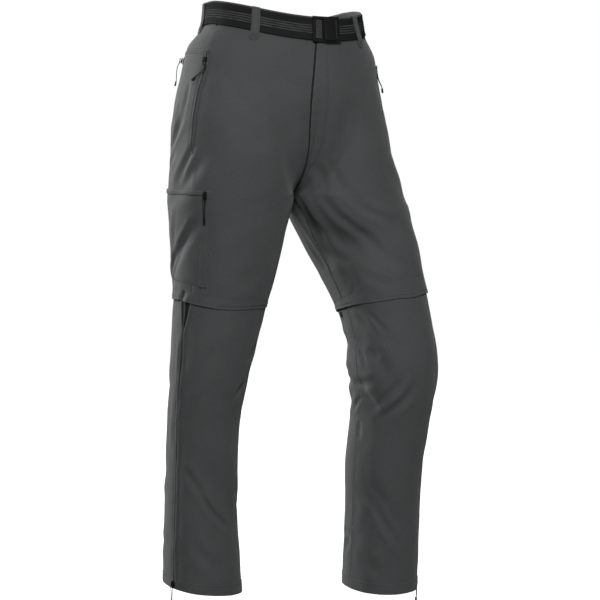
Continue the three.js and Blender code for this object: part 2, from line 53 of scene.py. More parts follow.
def placeCamera(view):
    turn, rise = math.radians(view["azimuth"]), math.radians(view["elevation"])
    away = (math.sin(turn) * math.cos(rise), -math.cos(turn) * math.cos(rise), math.sin(rise))
    data = bpy.data.cameras.new("studioCamera")
    data.lens = view["lens"]
    camera = bpy.data.objects.new("studioCamera", data)
    camera.location = [t + a * view["distance"] for t, a in zip(view["target"], away)]
    camera.rotation_euler = (math.pi / 2 - rise, 0, turn)
    scene.collection.objects.link(camera)
    scene.camera = camera


placeCamera(viewpoint)

# The garment's surface, by the same sizes as its solids. Each half has two parameters: "around" is 0
# at the centre front or inside leg seam and 1 at the centre back, and "level" is the height down it.
garment = {
    "seamGap": 0.4 * mm,
    "crotchLevel": -310 * mm,
    "forkStart": -60 * mm,
    "waistTop": 20 * mm,
    "waistSeam": -20 * mm,
    "waistDip": 36 * mm,
    "waistDipSharpness": 7,
    "waistBackLift": 12 * mm,
    "pelvisTilt": -0.03,
    "waistShapeFadesBy": -200 * mm,
    "waistSideDrop": 8 * mm,
    "waistBackDrop": 16 * mm,
    "waistDropFadesBy": -76 * mm,
    "shortsEnd": -488 * mm,
    "hemLevel": {"right": -1027 * mm, "left": -1035 * mm},
    "hemSlant": {"right": 0.16, "left": 0},
    "hemSlantStart": -880 * mm,
    "shortsSideSeam": 0.437,
    "legSideSeam": 0.463,
    "shortsEase": 2 * mm,
    "roundness": 0.92,
    "forkCentre": (0.04, 0.24),  # how far from a centre seam the fork stays round
    "backDrop": (0.46, 0.8),  # where round the waist its top starts and ends dropping to the back
    "leanFadesIn": 110 * mm,
    "leanProbe": 12 * mm,
    "girth": 0.6,  # metres of flattened cloth that "around" 0 to 1 stands for
}

# level, width to the right, width to the left, depth in front, depth behind
seatSections = mm * np.array([
    [20, 146, 138, 116, 122],
    [-20, 151, 147, 118, 130],
    [-65, 175, 169, 122, 152],
    [-120, 187, 173, 129, 165],
    [-180, 202, 177, 134, 166],
    [-240, 206, 184, 136, 158],
    [-310, 211, 208, 130, 140],
])

# level, the middle's place sideways and in depth, half width, depth in front, depth behind
legSections = {
    "right": mm * np.array([
        [-240, 103.2, 3, 103, 126, 134],
        [-310, 107, 4, 106.8, 118, 122],
        [-375, 114, 6, 98, 109, 109],
        [-430, 120, 8, 90.5, 101, 99],
        [-500, 128, 12, 79, 89, 86],
        [-560, 136, 16, 74, 84, 81],
        [-630, 144, 22, 67, 77, 78],
        [-720, 151, 30, 61, 70, 78],
        [-800, 152, 36, 61.5, 70, 78],
        [-890, 152, 41, 62.5, 70, 78],
        [-960, 150, 44, 66, 73, 78],
        [-1036, 147, 46, 69, 75, 80],
    ]),
    "left": mm * np.array([
        [-240, 99.2, -4, 99, 124, 134],
        [-310, 109, -15, 108.8, 114, 122],
        [-375, 128, -35, 97, 106, 108],
        [-430, 143, -55, 90, 97, 97],
        [-500, 155, -79, 79, 87, 87],
        [-560, 162, -95, 76.5, 84, 84],
        [-630, 166, -105, 77.5, 84, 86],
        [-720, 165, -98, 68, 76, 80],
        [-800, 158, -90, 66, 74, 78],
        [-890, 157, -86, 64.5, 72, 76],
        [-960, 156, -84, 64.5, 72, 76],
        [-1036, 154, -82, 65.5, 72, 77],
    ]),
}


# t * t * (3 - 2t) of how far the value has come from start to end
def smoothStep(start, end, value):
    t = np.clip((value - start) / (end - start), 0, 1)
    return t * t * (3 - 2 * t)


# A cubic through the rows of a table, its slope at each row that of the line between the rows beside it
def sectionAt(sections, level):
    last = len(sections) - 1
    i = np.clip(np.searchsorted(-sections[:, 0], -level, side="left") - 1, 0, last - 1)
    before, a, b, after = (sections[np.clip(i + k, 0, last)] for k in (-1, 0, 1, 2))
    span = b[..., :1] - a[..., :1]
    t = np.clip((level[..., None] - a[..., :1]) / span, 0, 1)
    slopeA = (b - before) / (b[..., :1] - before[..., :1]) * span
    slopeB = (after - a) / (after[..., :1] - a[..., :1]) * span
    ends = (2 * t**3 - 3 * t**2 + 1) * a + (3 * t**2 - 2 * t**3) * b
    return np.moveaxis(ends + (t**3 - 2 * t**2 + t) * slopeA + (t**3 - t**2) * slopeB, -1, 0)


# exp(-(value / width)^2)
def bell(value, width):
    return np.exp(-((value / width) ** 2))


def unit(vectors):
    return vectors / np.linalg.norm(vectors, axis=-1, keepdims=True)


# The value's size to the power of the roundness, with its sign kept
def softened(value):
    return np.sign(value) * np.abs(value) ** garment["roundness"]


# How far the seat's oval has parted into a leg: 1 - sqrt(1 - t * t) by the centre seams, a smooth step
# elsewhere
def parting(around, level):
    t = np.clip((garment["forkStart"] - level) / (garment["forkStart"] - garment["crotchLevel"]), 0, 1)
    centre = 1 - smoothStep(*garment["forkCentre"], np.minimum(around, 1 - around))
    return smoothStep(0, 1, t) * (1 - centre) + (1 - np.sqrt(1 - t * t)) * centre


# Seat: an oval, sin and cos of pi * around. Leg: a loop, cos and sin of 2 pi * around, tilted square to
# the leg's own line. The point is the one times (1 - parting) plus the other times parting.
def barePoint(side, around, level):
    g, table = garment, legSections[side]
    sign = -1 if side == "right" else 1
    seat = sectionAt(seatSections, np.maximum(level, g["crotchLevel"]))
    seatAngle = np.pi * around
    seatOut = seat[1 if side == "right" else 2] * softened(np.sin(seatAngle))
    seatY = -np.where(around < 0.5, seat[3], seat[4]) * softened(np.cos(seatAngle))
    leg = sectionAt(table, level)
    legAngle = 2 * np.pi * around
    below = sectionAt(table, np.minimum(level, g["crotchLevel"]) - g["leanProbe"])
    above = sectionAt(table, np.minimum(level + g["leanProbe"], g["crotchLevel"]))
    lean = smoothStep(g["crotchLevel"], g["crotchLevel"] - g["leanFadesIn"], level) / (above[0] - below[0])
    leanX, leanY = (above[1] - below[1]) * lean, (above[2] - below[2]) * lean
    shrink = 1 / np.sqrt(1 + leanX**2 + leanY**2)
    offX = -leg[3] * softened(np.cos(legAngle)) * shrink
    offY = -np.where(np.sin(legAngle) > 0, leg[4], leg[5]) * softened(np.sin(legAngle)) * shrink
    share = parting(around, level)
    out = seatOut * (1 - share) + (leg[1] + offX) * share + g["seamGap"] / 2
    y = seatY * (1 - share) + (leg[2] + offY) * share
    waistShare = smoothStep(g["waistShapeFadesBy"], g["waistSeam"], level)
    dip = np.cos(seatAngle / 2) ** g["waistDipSharpness"]
    lift = g["waistBackLift"] - g["waistDip"] * dip
    drop = g["waistSideDrop"] * (1 - dip) + g["waistBackDrop"] * smoothStep(*g["backDrop"], around)
    drop = drop * smoothStep(g["waistDropFadesBy"], g["waistSeam"], level)
    slant = g["hemSlant"][side] * smoothStep(g["hemSlantStart"], g["hemLevel"][side], level) * (out - leg[1])
    z = level + waistShare * (lift + g["pelvisTilt"] * sign * out) - drop
    return np.stack([sign * out, y, z - leanX * offX - leanY * offY + slant], -1)


# The cross product of the surface's two directions, turned outwards
def bareNormal(side, around, level):
    along = barePoint(side, np.minimum(around + 0.002, 1), level)
    along = along - barePoint(side, np.maximum(around - 0.002, 0), level)
    down = barePoint(side, around, level - mm) - barePoint(side, around, level + mm)
    normal = unit(np.cross(down, along))
    return -normal if side == "right" else normal


# Metres of cloth for one whole "around" at a place
def pace(side, around, level):
    a, b = np.maximum(around - 0.004, 0), np.minimum(around + 0.004, 1)
    a, b, level = np.broadcast_arrays(a, b, np.asarray(level, float))
    return np.linalg.norm(barePoint(side, b, level) - barePoint(side, a, level), axis=-1) / (b - a)


# The big folds, where the solids have them: around and level (mm) of both ends, width mm, depth mm
bigFolds = {
    "right": [
        (0.41, -240, 0.52, -320, 14, -5), (0.405, -352, 0.56, -480, 9.5, -5.5),
        (0.33, -770, 0.15, -900, 22, -5), (0.5, -560, 0.47, -760, 22, 3),
    ],
    "left": [
        (0.98, -330, 0.2, -470, 20, -6), (0.06, -360, 0.3, -480, 20, -4),
        (0.0, -560, 0.16, -640, 14, -5), (0.96, -640, 0.1, -700, 14, -7),
        (0.02, -800, 0.28, -930, 20, -4),
    ],
}
# Creases: the same columns, then how far the middle bows to one side, mm. Depths above 0 are
# ridges.
creases = {
    "right": [
        (0.5, -120, 0.497, -176, 5, -2.2, 1),  # outer hip, behind the hand zip
        (0.497, -172, 0.57, -236, 7, -4.2, 2), (0.54, -150, 0.56, -200, 9, 1.6, 0),
        (0.444, -222, 0.512, -298, 6, -3.6, -3), (0.53, -236, 0.59, -272, 6, -2.6, 2),
        (0.6, -150, 0.72, -250, 12, -2.4, 6), (0.64, -230, 0.76, -300, 10, -2.6, 5),
        (0.7, -120, 0.9, -210, 16, -1.8, -8), (0.88, -240, 0.985, -300, 9, -3.0, 4),
        (0.78, -290, 0.97, -330, 9, -2.8, -5), (0.7, -350, 0.9, -378, 12, -2.4, 5),
        (0.83, -395, 0.66, -455, 12, -2.2, -4), (0.95, -400, 0.79, -470, 10, -2.4, 4),
        (0.429, -352, 0.512, -428, 5.5, -2.8, 2),  # over the thigh pocket
        (0.5, -418, 0.585, -478, 5.0, -3.4, -2), (0.515, -330, 0.545, -440, 6, 1.7, 0),
        (0.397, -316, 0.371, -432, 8, -0.9, 0), (0.3, -470, 0.2, -436, 13, -1.0, 3),
        (0.18, -380, 0.1, -470, 15, -1.2, 4), (0.025, -290, 0.14, -322, 9, -1.3, 3),
        (0.04, -120, 0.16, -88, 14, -0.8, 3), (0.3, -60, 0.41, -52, 9, -0.8, -2),
        (0.462, -484, 0.489, -512, 6, -2.6, 1),  # flap, at the side
        (0.357, -625, 0.33, -575, 13, -1.8, 2),  # lower leg
        (0.255, -655, 0.205, -690, 12, -1.6, 2), (0.15, -632, 0.215, -668, 6, -3.0, -2),
        (0.11, -560, 0.18, -600, 9, -1.6, 3), (0.431, -792, 0.322, -842, 9, -2.6, 2),
        (0.335, -836, 0.205, -906, 6.5, -5.6, -4), (0.372, -930, 0.24, -995, 13, -2.4, 3),
        (0.095, -800, 0.15, -868, 8, -2.0, -2), (0.06, -900, 0.12, -840, 9, -1.8, 2),
        (0.478, -560, 0.481, -640, 7, 1.8, 0), (0.497, -670, 0.514, -770, 8, 2.2, 0),
        (0.54, -600, 0.62, -690, 11, -2.0, 4), (0.64, -560, 0.78, -640, 11, -2.8, 6),
        (0.9, -590, 0.7, -655, 10, -3.0, -5), (0.96, -650, 0.8, -700, 10, -2.4, 5),
        (0.56, -800, 0.68, -880, 12, -2.2, -4), (0.86, -760, 0.7, -850, 12, -2.0, 5),
        (0.92, -880, 0.78, -960, 11, -2.2, 4), (0.56, -930, 0.65, -985, 10, -1.8, 3),
    ],
    "left": [
        (0.01, -258, 0.11, -306, 8, -3.4, -3),  # from the crotch down over the thigh
        (0.055, -280, 0.06, -428, 9, 2.6, 0),  # the cloth turns in at the inside leg
        (0.022, -280, 0.014, -436, 13, -5.0, 0), (0.1, -300, 0.205, -440, 8.5, -3.8, 6),
        (0.06, -252, 0.2, -322, 9, -2.2, -4), (0.185, -308, 0.275, -402, 10, -2.8, 4),
        (0.16, -408, 0.25, -476, 10, -2.0, 2), (0.11, -462, 0.205, -496, 8, -1.8, 2),
        (0.3, -250, 0.39, -330, 14, -1.4, 5), (0.986, -290, 0.01, -372, 6, -3.0, 2),
        (0.97, -340, 0.99, -430, 6, -2.6, 0), (0.03, -392, 0.085, -440, 9, -3.4, 2),
        (0.088, -464, 0.074, -486, 3.5, -1.6, 0), (0.07, -470, 0.05, -492, 4, -1.2, 0),
        (0.38, -120, 0.47, -160, 9, -1.2, 3), (0.47, -150, 0.56, -215, 9, -3.0, 3),
        (0.45, -236, 0.54, -300, 8, -3.0, -3), (0.42, -330, 0.52, -400, 9, -2.4, 3),
        (0.46, -430, 0.56, -478, 8, -2.4, -3), (0.6, -150, 0.76, -245, 13, -2.2, 6),
        (0.86, -230, 0.98, -292, 9, -3.2, 4), (0.76, -300, 0.96, -345, 10, -3.0, -6),
        (0.68, -350, 0.88, -395, 12, -2.4, 5), (0.9, -410, 0.7, -462, 11, -2.6, -4),
        (0.078, -520, 0.148, -566, 5, -2.4, 1),  # under the flap at the knee
        (0.034, -524, 0.104, -563, 5.5, -2.6, 1), (0.12, -560, 0.23, -600, 12, -1.4, 3),
        (0.018, -588, 0.046, -618, 5, -3.4, -1), (0.05, -590, 0.11, -604, 8, -2.4, 2),
        (0.96, -652, 0.085, -642, 8, -3.2, 4), (0.1, -682, 0.205, -638, 8, -2.8, -2),
        (0.06, -712, 0.24, -630, 8, 2.0, 3), (0.12, -704, 0.245, -646, 9, -3.0, 2),
        (0.96, -712, 0.01, -676, 5, -2.8, 0), (0.0, -728, 0.015, -760, 7, -2.4, 0),
        (0.01, -838, 0.11, -868, 9, -2.0, 2), (0.1, -862, 0.255, -952, 9, -3.4, 4),
        (0.03, -960, 0.18, -1000, 13, -1.6, 4), (0.905, -918, 0.985, -946, 7, -3.0, 2),
        (0.93, -980, 0.99, -940, 8, -2.0, 0),
        (0.87, -572, 0.965, -566, 13, -3.4, 0),  # behind the knee, at the inner side
        (0.86, -620, 0.97, -612, 14, 2.8, 0), (0.87, -657, 0.96, -655, 8, -3.4, 0),
        (0.44, -560, 0.56, -640, 12, -2.6, 5), (0.62, -580, 0.78, -650, 11, -3.2, 6),
        (0.9, -600, 0.72, -670, 10, -3.4, -5), (0.95, -690, 0.78, -740, 10, -2.8, 5),
        (0.56, -720, 0.7, -800, 12, -2.2, -4), (0.86, -800, 0.68, -880, 12, -2.2, 5),
        (0.56, -900, 0.68, -970, 11, -2.2, 3), (0.34, -620, 0.42, -700, 13, -1.6, 4),
    ],
}


# Where a place lies along a crease (t, 0 to 1) and how far from it (in metres, on the flattened cloth)
def besideCrease(around, level, row):
    around0, level0, around1, level1 = row[:4]
    bow = row[6] * mm if len(row) > 6 else 0
    turn = around1 - around0
    dx, dy = (turn - round(turn)) * garment["girth"], (level1 - level0) * mm
    px = around - around0
    px, py = (px - np.round(px)) * garment["girth"], level - level0 * mm
    t = np.clip((px * dx + py * dy) / (dx * dx + dy * dy), 0, 1)
    bend = bow * np.sin(np.pi * t) / math.hypot(dx, dy)
    return t, np.hypot(px - t * dx - bend * dy, py - t * dy + bend * dx)


# Big fold: depth * exp(-(away / width)^2) * sin(pi (0.1 + 0.8 t)). Crease: the same bell with a low
# shoulder on both sides, 0.35 * exp(-(away / width - 1.8)^2 / 0.6), fading to nothing at its ends.
# Between them the cloth is uneven by a few slow waves, which stop below the waist seam.
def creaseDepth(side, around, level):
    u, v = around * garment["girth"], level
    phase = 0.0 if side == "right" else 2.1
    slow = np.sin(u * 61 + 3 * np.sin(v * 19 + phase)) * np.sin(v * 43 + 2 * np.sin(u * 23 + phase))
    fine = np.sin(u * 119 + 47 * v + 2 * np.sin(v * 37)) * np.sin(v * 97 - 31 * u + phase)
    edge = smoothStep(0, 0.03, np.minimum(around, 1 - around))
    depth = (0.55 * slow + 0.25 * fine) * mm * edge * smoothStep(-28 * mm, -110 * mm, level)
    for row in bigFolds[side]:
        t, away = besideCrease(around, level, row)
        depth += row[5] * mm * bell(away, row[4] * mm) * np.sin(np.pi * (0.1 + 0.8 * t))
    for row in creases[side]:
        t, away = besideCrease(around, level, row)
        near = away / (row[4] * mm)
        shape = bell(near, 1) - 0.35 * np.exp(-((near - 1.8) ** 2) / 0.6)
        depth += row[5] * mm * shape * np.sin(np.pi * t) ** 0.8
    return depth


# The bare surface moved along its normal by the creases and the lift
def clothPoint(side, around, level, lift=0.0):
    around, level = np.broadcast_arrays(np.asarray(around, float), np.asarray(level, float))
    depth = creaseDepth(side, around, level) + lift
    return barePoint(side, around, level) + bareNormal(side, around, level) * depth[..., None]


# Cloth coordinates in metres, which the weave follows
def clothUv(around, level):
    return np.stack([around * garment["girth"], level], -1)


# How far the shorts stand off towards the knee
def shortsSkin(level):
    return garment["shortsEase"] * smoothStep(-400 * mm, garment["shortsEnd"], level)


# The same point for a place round the waist: 0 to 1 is the right half, 1 to 2 (and below 0) the left
def waistPoint(turns, level, lift=0.0):
    turns, level, lift = np.broadcast_arrays(*(np.asarray(v, float) for v in (turns, level, lift)))
    onLeft = (turns > 1) | (turns < 0)
    around = np.where(turns > 1, 2 - turns, np.abs(turns))
    left, right = clothPoint("left", around, level, lift), clothPoint("right", around, level, lift)
    return np.where(onLeft[..., None], left, right)


def startMaterial(name):
    material = bpy.data.materials.new(name)
    material.use_nodes = True
    return material, material.node_tree, material.node_tree.nodes["Principled BSDF"]


def addNode(tree, kind, inputs=None, **settings):
    node = tree.nodes.new("ShaderNode" + kind)
    for key, value in settings.items():
        setattr(node, key, value)
    for key, value in (inputs or {}).items():
        if isinstance(value, bpy.types.NodeSocket):
            tree.links.new(value, node.inputs[key])
        else:
            node.inputs[key].default_value = value
    return node


def calculate(tree, operation, a, b=0.0):
    return addNode(tree, "Math", {0: a, 1: b}, operation=operation).outputs[0]


def times(tree, a, b):
    return calculate(tree, "MULTIPLY", a, b)


# sin(2 pi value / spacing)
def waves(tree, value, spacing):
    return calculate(tree, "SINE", times(tree, value, 2 * math.pi / spacing))


def noiseOn(tree, vector, scale, detail):
    return addNode(tree, "TexNoise", {"Vector": vector, "Scale": scale, "Detail": detail}).outputs[0]


# Noise drawn out along the cloth, by different scales both ways
def stretchedNoise(tree, uv, scale, detail):
    drawn = addNode(tree, "Mapping", {"Vector": uv, "Scale": (*scale, 1)}).outputs[0]
    return noiseOn(tree, drawn, 1.0, detail)


def remapped(tree, value, start=0.0, end=1.0, low=0.0, high=1.0):
    return addNode(tree, "MapRange", {0: value, 1: start, 2: end, 3: low, 4: high}).outputs[0]


def addBump(tree, shader, height, strength, distance):
    bump = addNode(tree, "Bump", {"Height": height, "Strength": strength, "Distance": distance})
    tree.links.new(bump.outputs[0], shader.inputs["Normal"])


def setShader(shader, **values):
    for key, value in values.items():
        shader.inputs[key.replace("_", " ")].default_value = value


# A ramp between darker and lighter tints of one colour
def tintRamp(tree, factor, colour, low, high, lowAt=0.3, highAt=0.7):
    ramp = addNode(tree, "ValToRGB", {"Fac": factor})
    for element, place, share in zip(ramp.color_ramp.elements, (lowAt, highAt), (low, high)):
        element.position = place
        element.color = (*(c * share for c in colour), 1)
    return ramp.outputs["Color"]


def multiplied(tree, a, b):
    mix = addNode(tree, "Mix", {0: 1.0, 6: a, 7: b}, data_type="RGBA", blend_type="MULTIPLY")
    return mix.outputs[2]


clothFinish = {
    "colour": (0.072, 0.0757, 0.077),
    "threadSpacing": 0.85 * mm,
    "yarn": (1100, 130),  # how fine its unevenness is across and along a thread
    "mottle": 0.06,
    "mottleScale": 14.0,
    "roughness": 0.85,
    "relief": 0.25 * mm,
    "sheen": 0.2,
}


# Stretch weave: threads both ways as sines of the cloth's own coordinates, uneven yarn, soft mottling
def makeCloth(name, q):
    material, tree, shader = startMaterial(name)
    uv = addNode(tree, "UVMap", uv_map="cloth").outputs[0]
    along, level = addNode(tree, "SeparateXYZ", {0: uv}).outputs[:2]
    weave = times(tree, *(waves(tree, v, q["threadSpacing"]) for v in (along, level)))
    warp, weft = (stretchedNoise(tree, uv, scale, 2.0) for scale in (q["yarn"], q["yarn"][::-1]))
    yarn = times(tree, calculate(tree, "ADD", warp, weft), 0.5)
    blotch = noiseOn(tree, addNode(tree, "TexCoord").outputs["Object"], q["mottleScale"], 3.0)
    tint = tintRamp(tree, blotch, q["colour"], 1 - q["mottle"], 1 + q["mottle"])
    shade = tintRamp(tree, yarn, (1, 1, 1), 0.9, 1.08, 0.38, 0.62)
    tree.links.new(multiplied(tree, tint, shade), shader.inputs["Base Color"])
    addBump(tree, shader, calculate(tree, "ADD", times(tree, weave, 0.5), yarn), 0.35, q["relief"])
    rough = remapped(tree, blotch, low=q["roughness"] - 0.06, high=q["roughness"] + 0.06)
    tree.links.new(rough, shader.inputs["Roughness"])
    setShader(shader, Sheen_Weight=q["sheen"], Sheen_Roughness=0.45, Specular_IOR_Level=0.3)
    return material


cloth = makeCloth("trouserCloth", clothFinish)
trimGrain = {"scale": 900.0, "broader": 14, "relief": 0.04 * mm, "spread": 0.12, "uneven": 0.07}


# A plain moulded or woven trim: fine grain on Object coordinates over one colour
def makeTrim(name, colour, roughness):
    q = trimGrain
    material, tree, shader = startMaterial(name)
    place = addNode(tree, "TexCoord").outputs["Object"]
    fine = noiseOn(tree, place, q["scale"], 3.0)
    broad = noiseOn(tree, place, q["scale"] / q["broader"], 2.0)
    both = times(tree, calculate(tree, "ADD", fine, broad), 0.5)
    tint = tintRamp(tree, both, colour, 1 - q["spread"], 1 + q["spread"], 0.4, 0.6)
    tree.links.new(tint, shader.inputs["Base Color"])
    rough = remapped(tree, broad, low=roughness - q["uneven"], high=roughness + q["uneven"])
    tree.links.new(rough, shader.inputs["Roughness"])
    addBump(tree, shader, fine, 0.5, q["relief"])
    setShader(shader, Specular_IOR_Level=0.3)
    return material


zipTape = makeTrim("zipTape", (0.009, 0.009, 0.01), 0.8)
zipCoil = makeTrim("zipCoil", (0.008, 0.008, 0.009), 0.6)
moulded = makeTrim("mouldedPlastic", (0.004, 0.004, 0.0045), 0.7)
mouldedWorn = makeTrim("wornPlastic", (0.045, 0.046, 0.047), 0.4)
enamel = makeTrim("sliderEnamel", (0.007, 0.007, 0.0075), 0.55)
braid = makeTrim("braidedCord", (0.005, 0.005, 0.0055), 0.85)
thread = makeTrim("sewingThread", (0.06, 0.063, 0.065), 0.7)
beltThread = makeTrim("beltThread", (0.03, 0.031, 0.032), 0.7)

webbingFinish = {
    "colour": (0.0175, 0.0178, 0.0182),
    "cords": (0.085, 0.087, 0.088),
    "cordsAt": -2 * mm,
    "cordZone": 8 * mm,  # half the height of the middle, where the cords are
    "cordSpacing": 4 * mm,
    "weave": 0.9 * mm,
}


# Webbing: dark, with paler cords along its middle where sin(pi (level - cordsAt) / spacing) is near 1 or -1,
# and short threads across it
def makeWebbing(q):
    material, tree, shader = startMaterial("beltWebbing")
    uv = addNode(tree, "UVMap", uv_map="cloth").outputs[0]
    along, level = addNode(tree, "SeparateXYZ", {0: uv}).outputs[:2]
    fromMiddle = calculate(tree, "SUBTRACT", level, q["cordsAt"])
    wave = calculate(tree, "ABSOLUTE", waves(tree, fromMiddle, 2 * q["cordSpacing"]))
    inZone = calculate(tree, "LESS_THAN", calculate(tree, "ABSOLUTE", fromMiddle), q["cordZone"])
    onCord = times(tree, remapped(tree, wave, 0.6, 0.85), inZone)
    worn = remapped(tree, stretchedNoise(tree, uv, (60, 500), 3.0), 0.35, 0.6, 0.35, 1.0)
    colours = {0: times(tree, onCord, worn), 6: (*q["colour"], 1), 7: (*q["cords"], 1)}
    base = addNode(tree, "Mix", colours, data_type="RGBA").outputs[2]
    threads = waves(tree, along, q["weave"])
    shade = tintRamp(tree, remapped(tree, threads, -1.0), (1, 1, 1), 0.75, 1.15, 0.2, 0.8)
    tree.links.new(multiplied(tree, base, shade), shader.inputs["Base Color"])
    addBump(tree, shader, threads, 0.4, 0.2 * mm)
    setShader(shader, Roughness=0.85, Specular_IOR_Level=0.08)
    return material


webbing = makeWebbing(webbingFinish)


# A grid of points (rows, columns) as quads. Rows may close on themselves into a tube with capped ends.
# A closed form whose signed volume, the sum of a . (b x c) over its faces, is below 0 is turned round.
def gridMesh(name, points, flip=False, closed=False, uv=None):
    rows, columns = points.shape[:2]
    index = np.arange(rows * columns).reshape(rows, columns)
    if closed:
        index = np.concatenate([index, index[:1]])
    quads = np.stack([index[:-1, :-1], index[:-1, 1:], index[1:, 1:], index[1:, :-1]], -1).reshape(-1, 4)
    flat = points.reshape(-1, 3)
    faces = quads.tolist()
    if closed:
        a, b, c, d = ((flat - flat.mean(0))[quads[:, k]] for k in range(4))
        flip = float((a * (np.cross(b, c) + np.cross(c, d))).sum()) < 0
        faces += [index[:rows, 0].tolist(), index[:rows, -1].tolist()[::-1]]
    if flip:
        faces = [face[::-1] for face in faces]
    return smoothMesh(name, flat, faces, uv)


def smoothMesh(name, points, faces, uv=None):
    mesh = bpy.data.meshes.new(name)
    mesh.from_pydata(points.tolist(), [], faces)
    if uv is not None:
        corner = np.empty(len(mesh.loops), np.int32)
        mesh.loops.foreach_get("vertex_index", corner)
        layer = mesh.uv_layers.new(name="cloth")
        layer.data.foreach_set("uv", uv.reshape(-1, 2)[corner].astype(np.float32).ravel())
    mesh.polygons.foreach_set("use_smooth", np.ones(len(mesh.polygons), bool))
    mesh.update()
    return mesh


def addPiece(mesh, material, *nodes):
    piece = bpy.data.objects.new(mesh.name, mesh)
    scene.collection.objects.link(piece)
    mesh.materials.append(material)
    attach(piece, "root")
    if nodes:
        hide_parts(*nodes)
    return piece


# A piece of cloth with its outer face as given and its thickness inwards
def addCloth(mesh, thickness, *nodes):
    piece = addPiece(mesh, cloth, *nodes)
    wall = piece.modifiers.new("wall", "SOLIDIFY")
    wall.thickness = thickness
    wall.offset = -1
    return piece


# Places from start to end about one step apart, and closer by both ends where finer ones are given (metres)
def places(start, end, reach, step, finer=()):
    near = np.array([0, *finer]) / reach * np.sign(end - start)
    first, last = start + near[-1], end - near[-1]
    inner = np.linspace(first, last, max(int(abs(last - first) * reach / step), 1) + 1)
    return np.concatenate([start + near[:-1], inner, (end - near[:-1])[::-1]])


# Each column of a table, read between its rows
def readAt(at, rowsAt, table):
    return np.stack([np.interp(at, rowsAt, column) for column in table.T], -1)


# Pull cords. The middle line of each runs from the slider's bridge to the grip, in mm: across the cloth
# (towards the back), down, and out. It is the route of the solid.
pullSizes = {
    "diameter": 1.3 * mm,
    "topRadius": 2.6 * mm,
    "rise": 3.1 * mm,
    "strip": 1.5 * mm,
    "sides": 10,
}
hanging = [(0, 4, 4.4), (0, 12, 4), (0, 22, 3.8), (0, 30, 3.8), (0, 37, 3.8)]
pulls = {
    "hand_right": ("right", 0.41925, -86, [
        (0, 4, 4.4), (-6, 10, 4.2), (-7, 17, 4.6), (-2, 24, 5.4), (4, 29, 6.2), (8, 33, 6.6),
    ]),
    "hand_left": ("left", 0.437, -86, [(0, 4, 4.4), (0, 14, 4.8), (-2, 24, 6), (-4, 32, 8.4), (-5, 38, 10)]),
    "back": ("right", 0.635, -88, [(0, 4, 5.2), (0, 12, 7), (0, 22, 6.4), (-1, 30, 5), (-1, 37, 3.8)]),
    "thigh": ("right", 0.4, -312, [(0, 4, 4.4), (0, 12, 3.6), (1, 22, 3), (1, 30, 2.8), (1, 37, 2.8)]),
    "leg_right": ("right", 0.463, -1017, hanging),
    "leg_left": ("left", 0.463, -1025, hanging),
}


# A centripetal curve through points: each stretch is a cubic whose slopes weigh the steps by the square
# root of their lengths
def curveThrough(points, perSpan):
    points = np.asarray(points, float)
    ends = np.concatenate([[2 * points[0] - points[1]], points, [2 * points[-1] - points[-2]]])
    gap = np.sqrt(np.linalg.norm(np.diff(ends, axis=0), axis=1))[:, None]
    p0, p1, p2, p3 = ends[:-3], ends[1:-2], ends[2:-1], ends[3:]
    d0, d1, d2 = gap[:-2], gap[1:-1], gap[2:]
    m1 = ((p1 - p0) / d0 - (p2 - p0) / (d0 + d1) + (p2 - p1) / d1) * d1
    m2 = ((p2 - p1) / d1 - (p3 - p1) / (d1 + d2) + (p3 - p2) / d2) * d1
    t = np.linspace(0, 1, perSpan, endpoint=False)[None, :, None]
    p1, p2, m1, m2 = (v[:, None] for v in (p1, p2, m1, m2))
    line = (2 * t**3 - 3 * t**2 + 1) * p1 + (t**3 - 2 * t**2 + t) * m1
    line = line + (3 * t**2 - 2 * t**3) * p2 + (t**3 - t**2) * m2
    return np.concatenate([line.reshape(-1, 3), points[-1:]])


# Up one strand from the grip, half round in the slider's bridge, and down the other. The strands keep
# to both sides of the middle line, closing from the top radius to a cord's width.
def loopPath(route):
    middle = curveThrough([(x, -down, out) for x, down, out in route], 24)
    share = np.linspace(0, 1, len(middle))
    t = np.linspace(0.06, 1, 9)
    points = readAt(t, share, middle)
    along = readAt(t, share, np.gradient(middle, axis=0))
    aside = unit(np.stack([-along[:, 1], along[:, 0], 0 * t], -1))
    least, top = 0.5 * pullSizes["diameter"] + 0.25 * mm, pullSizes["topRadius"]
    spread = (least + (top - least) * (1 - t) ** 1.5)[:, None]
    angle = np.linspace(0, np.pi, 7)
    turn = np.stack([-top * np.cos(angle), top * np.sin(angle) - 1.4 * mm, 0 * angle + pullSizes["rise"]], -1)
    return curveThrough(np.concatenate([(points - aside * spread)[::-1], turn, points + aside * spread]), 5)


# The frame at a pull: its origin on the zip, x towards the back, y up the cloth, z out of it
def pullFrame(side, around, level):
    around, level = np.array(around), np.array(level)
    z = bareNormal(side, around, level)
    across = barePoint(side, around + 0.01, level) - barePoint(side, around - 0.01, level)
    x = across - z * (across @ z)
    x *= (-1 if side == "right" else 1) / np.linalg.norm(x)
    return np.stack([x, np.cross(z, x), z]), clothPoint(side, around, level, pullSizes["strip"])


# A tube: at each point of the path a ring, cos and sin of an angle along two directions square to the path
def tubePoints(path, radius, sides):
    along = unit(np.gradient(path, axis=0))
    aside = unit(np.cross(along, np.array([0.3, 0.2, 1.0])))
    up = np.cross(aside, along)
    angle = np.linspace(0, 2 * np.pi, sides, endpoint=False)[:, None, None]
    return path[None] + radius * (np.cos(angle) * aside[None] + np.sin(angle) * up[None])


def metresAlong(path):
    return np.concatenate([[0], np.cumsum(np.linalg.norm(np.diff(path, axis=0), axis=1))])


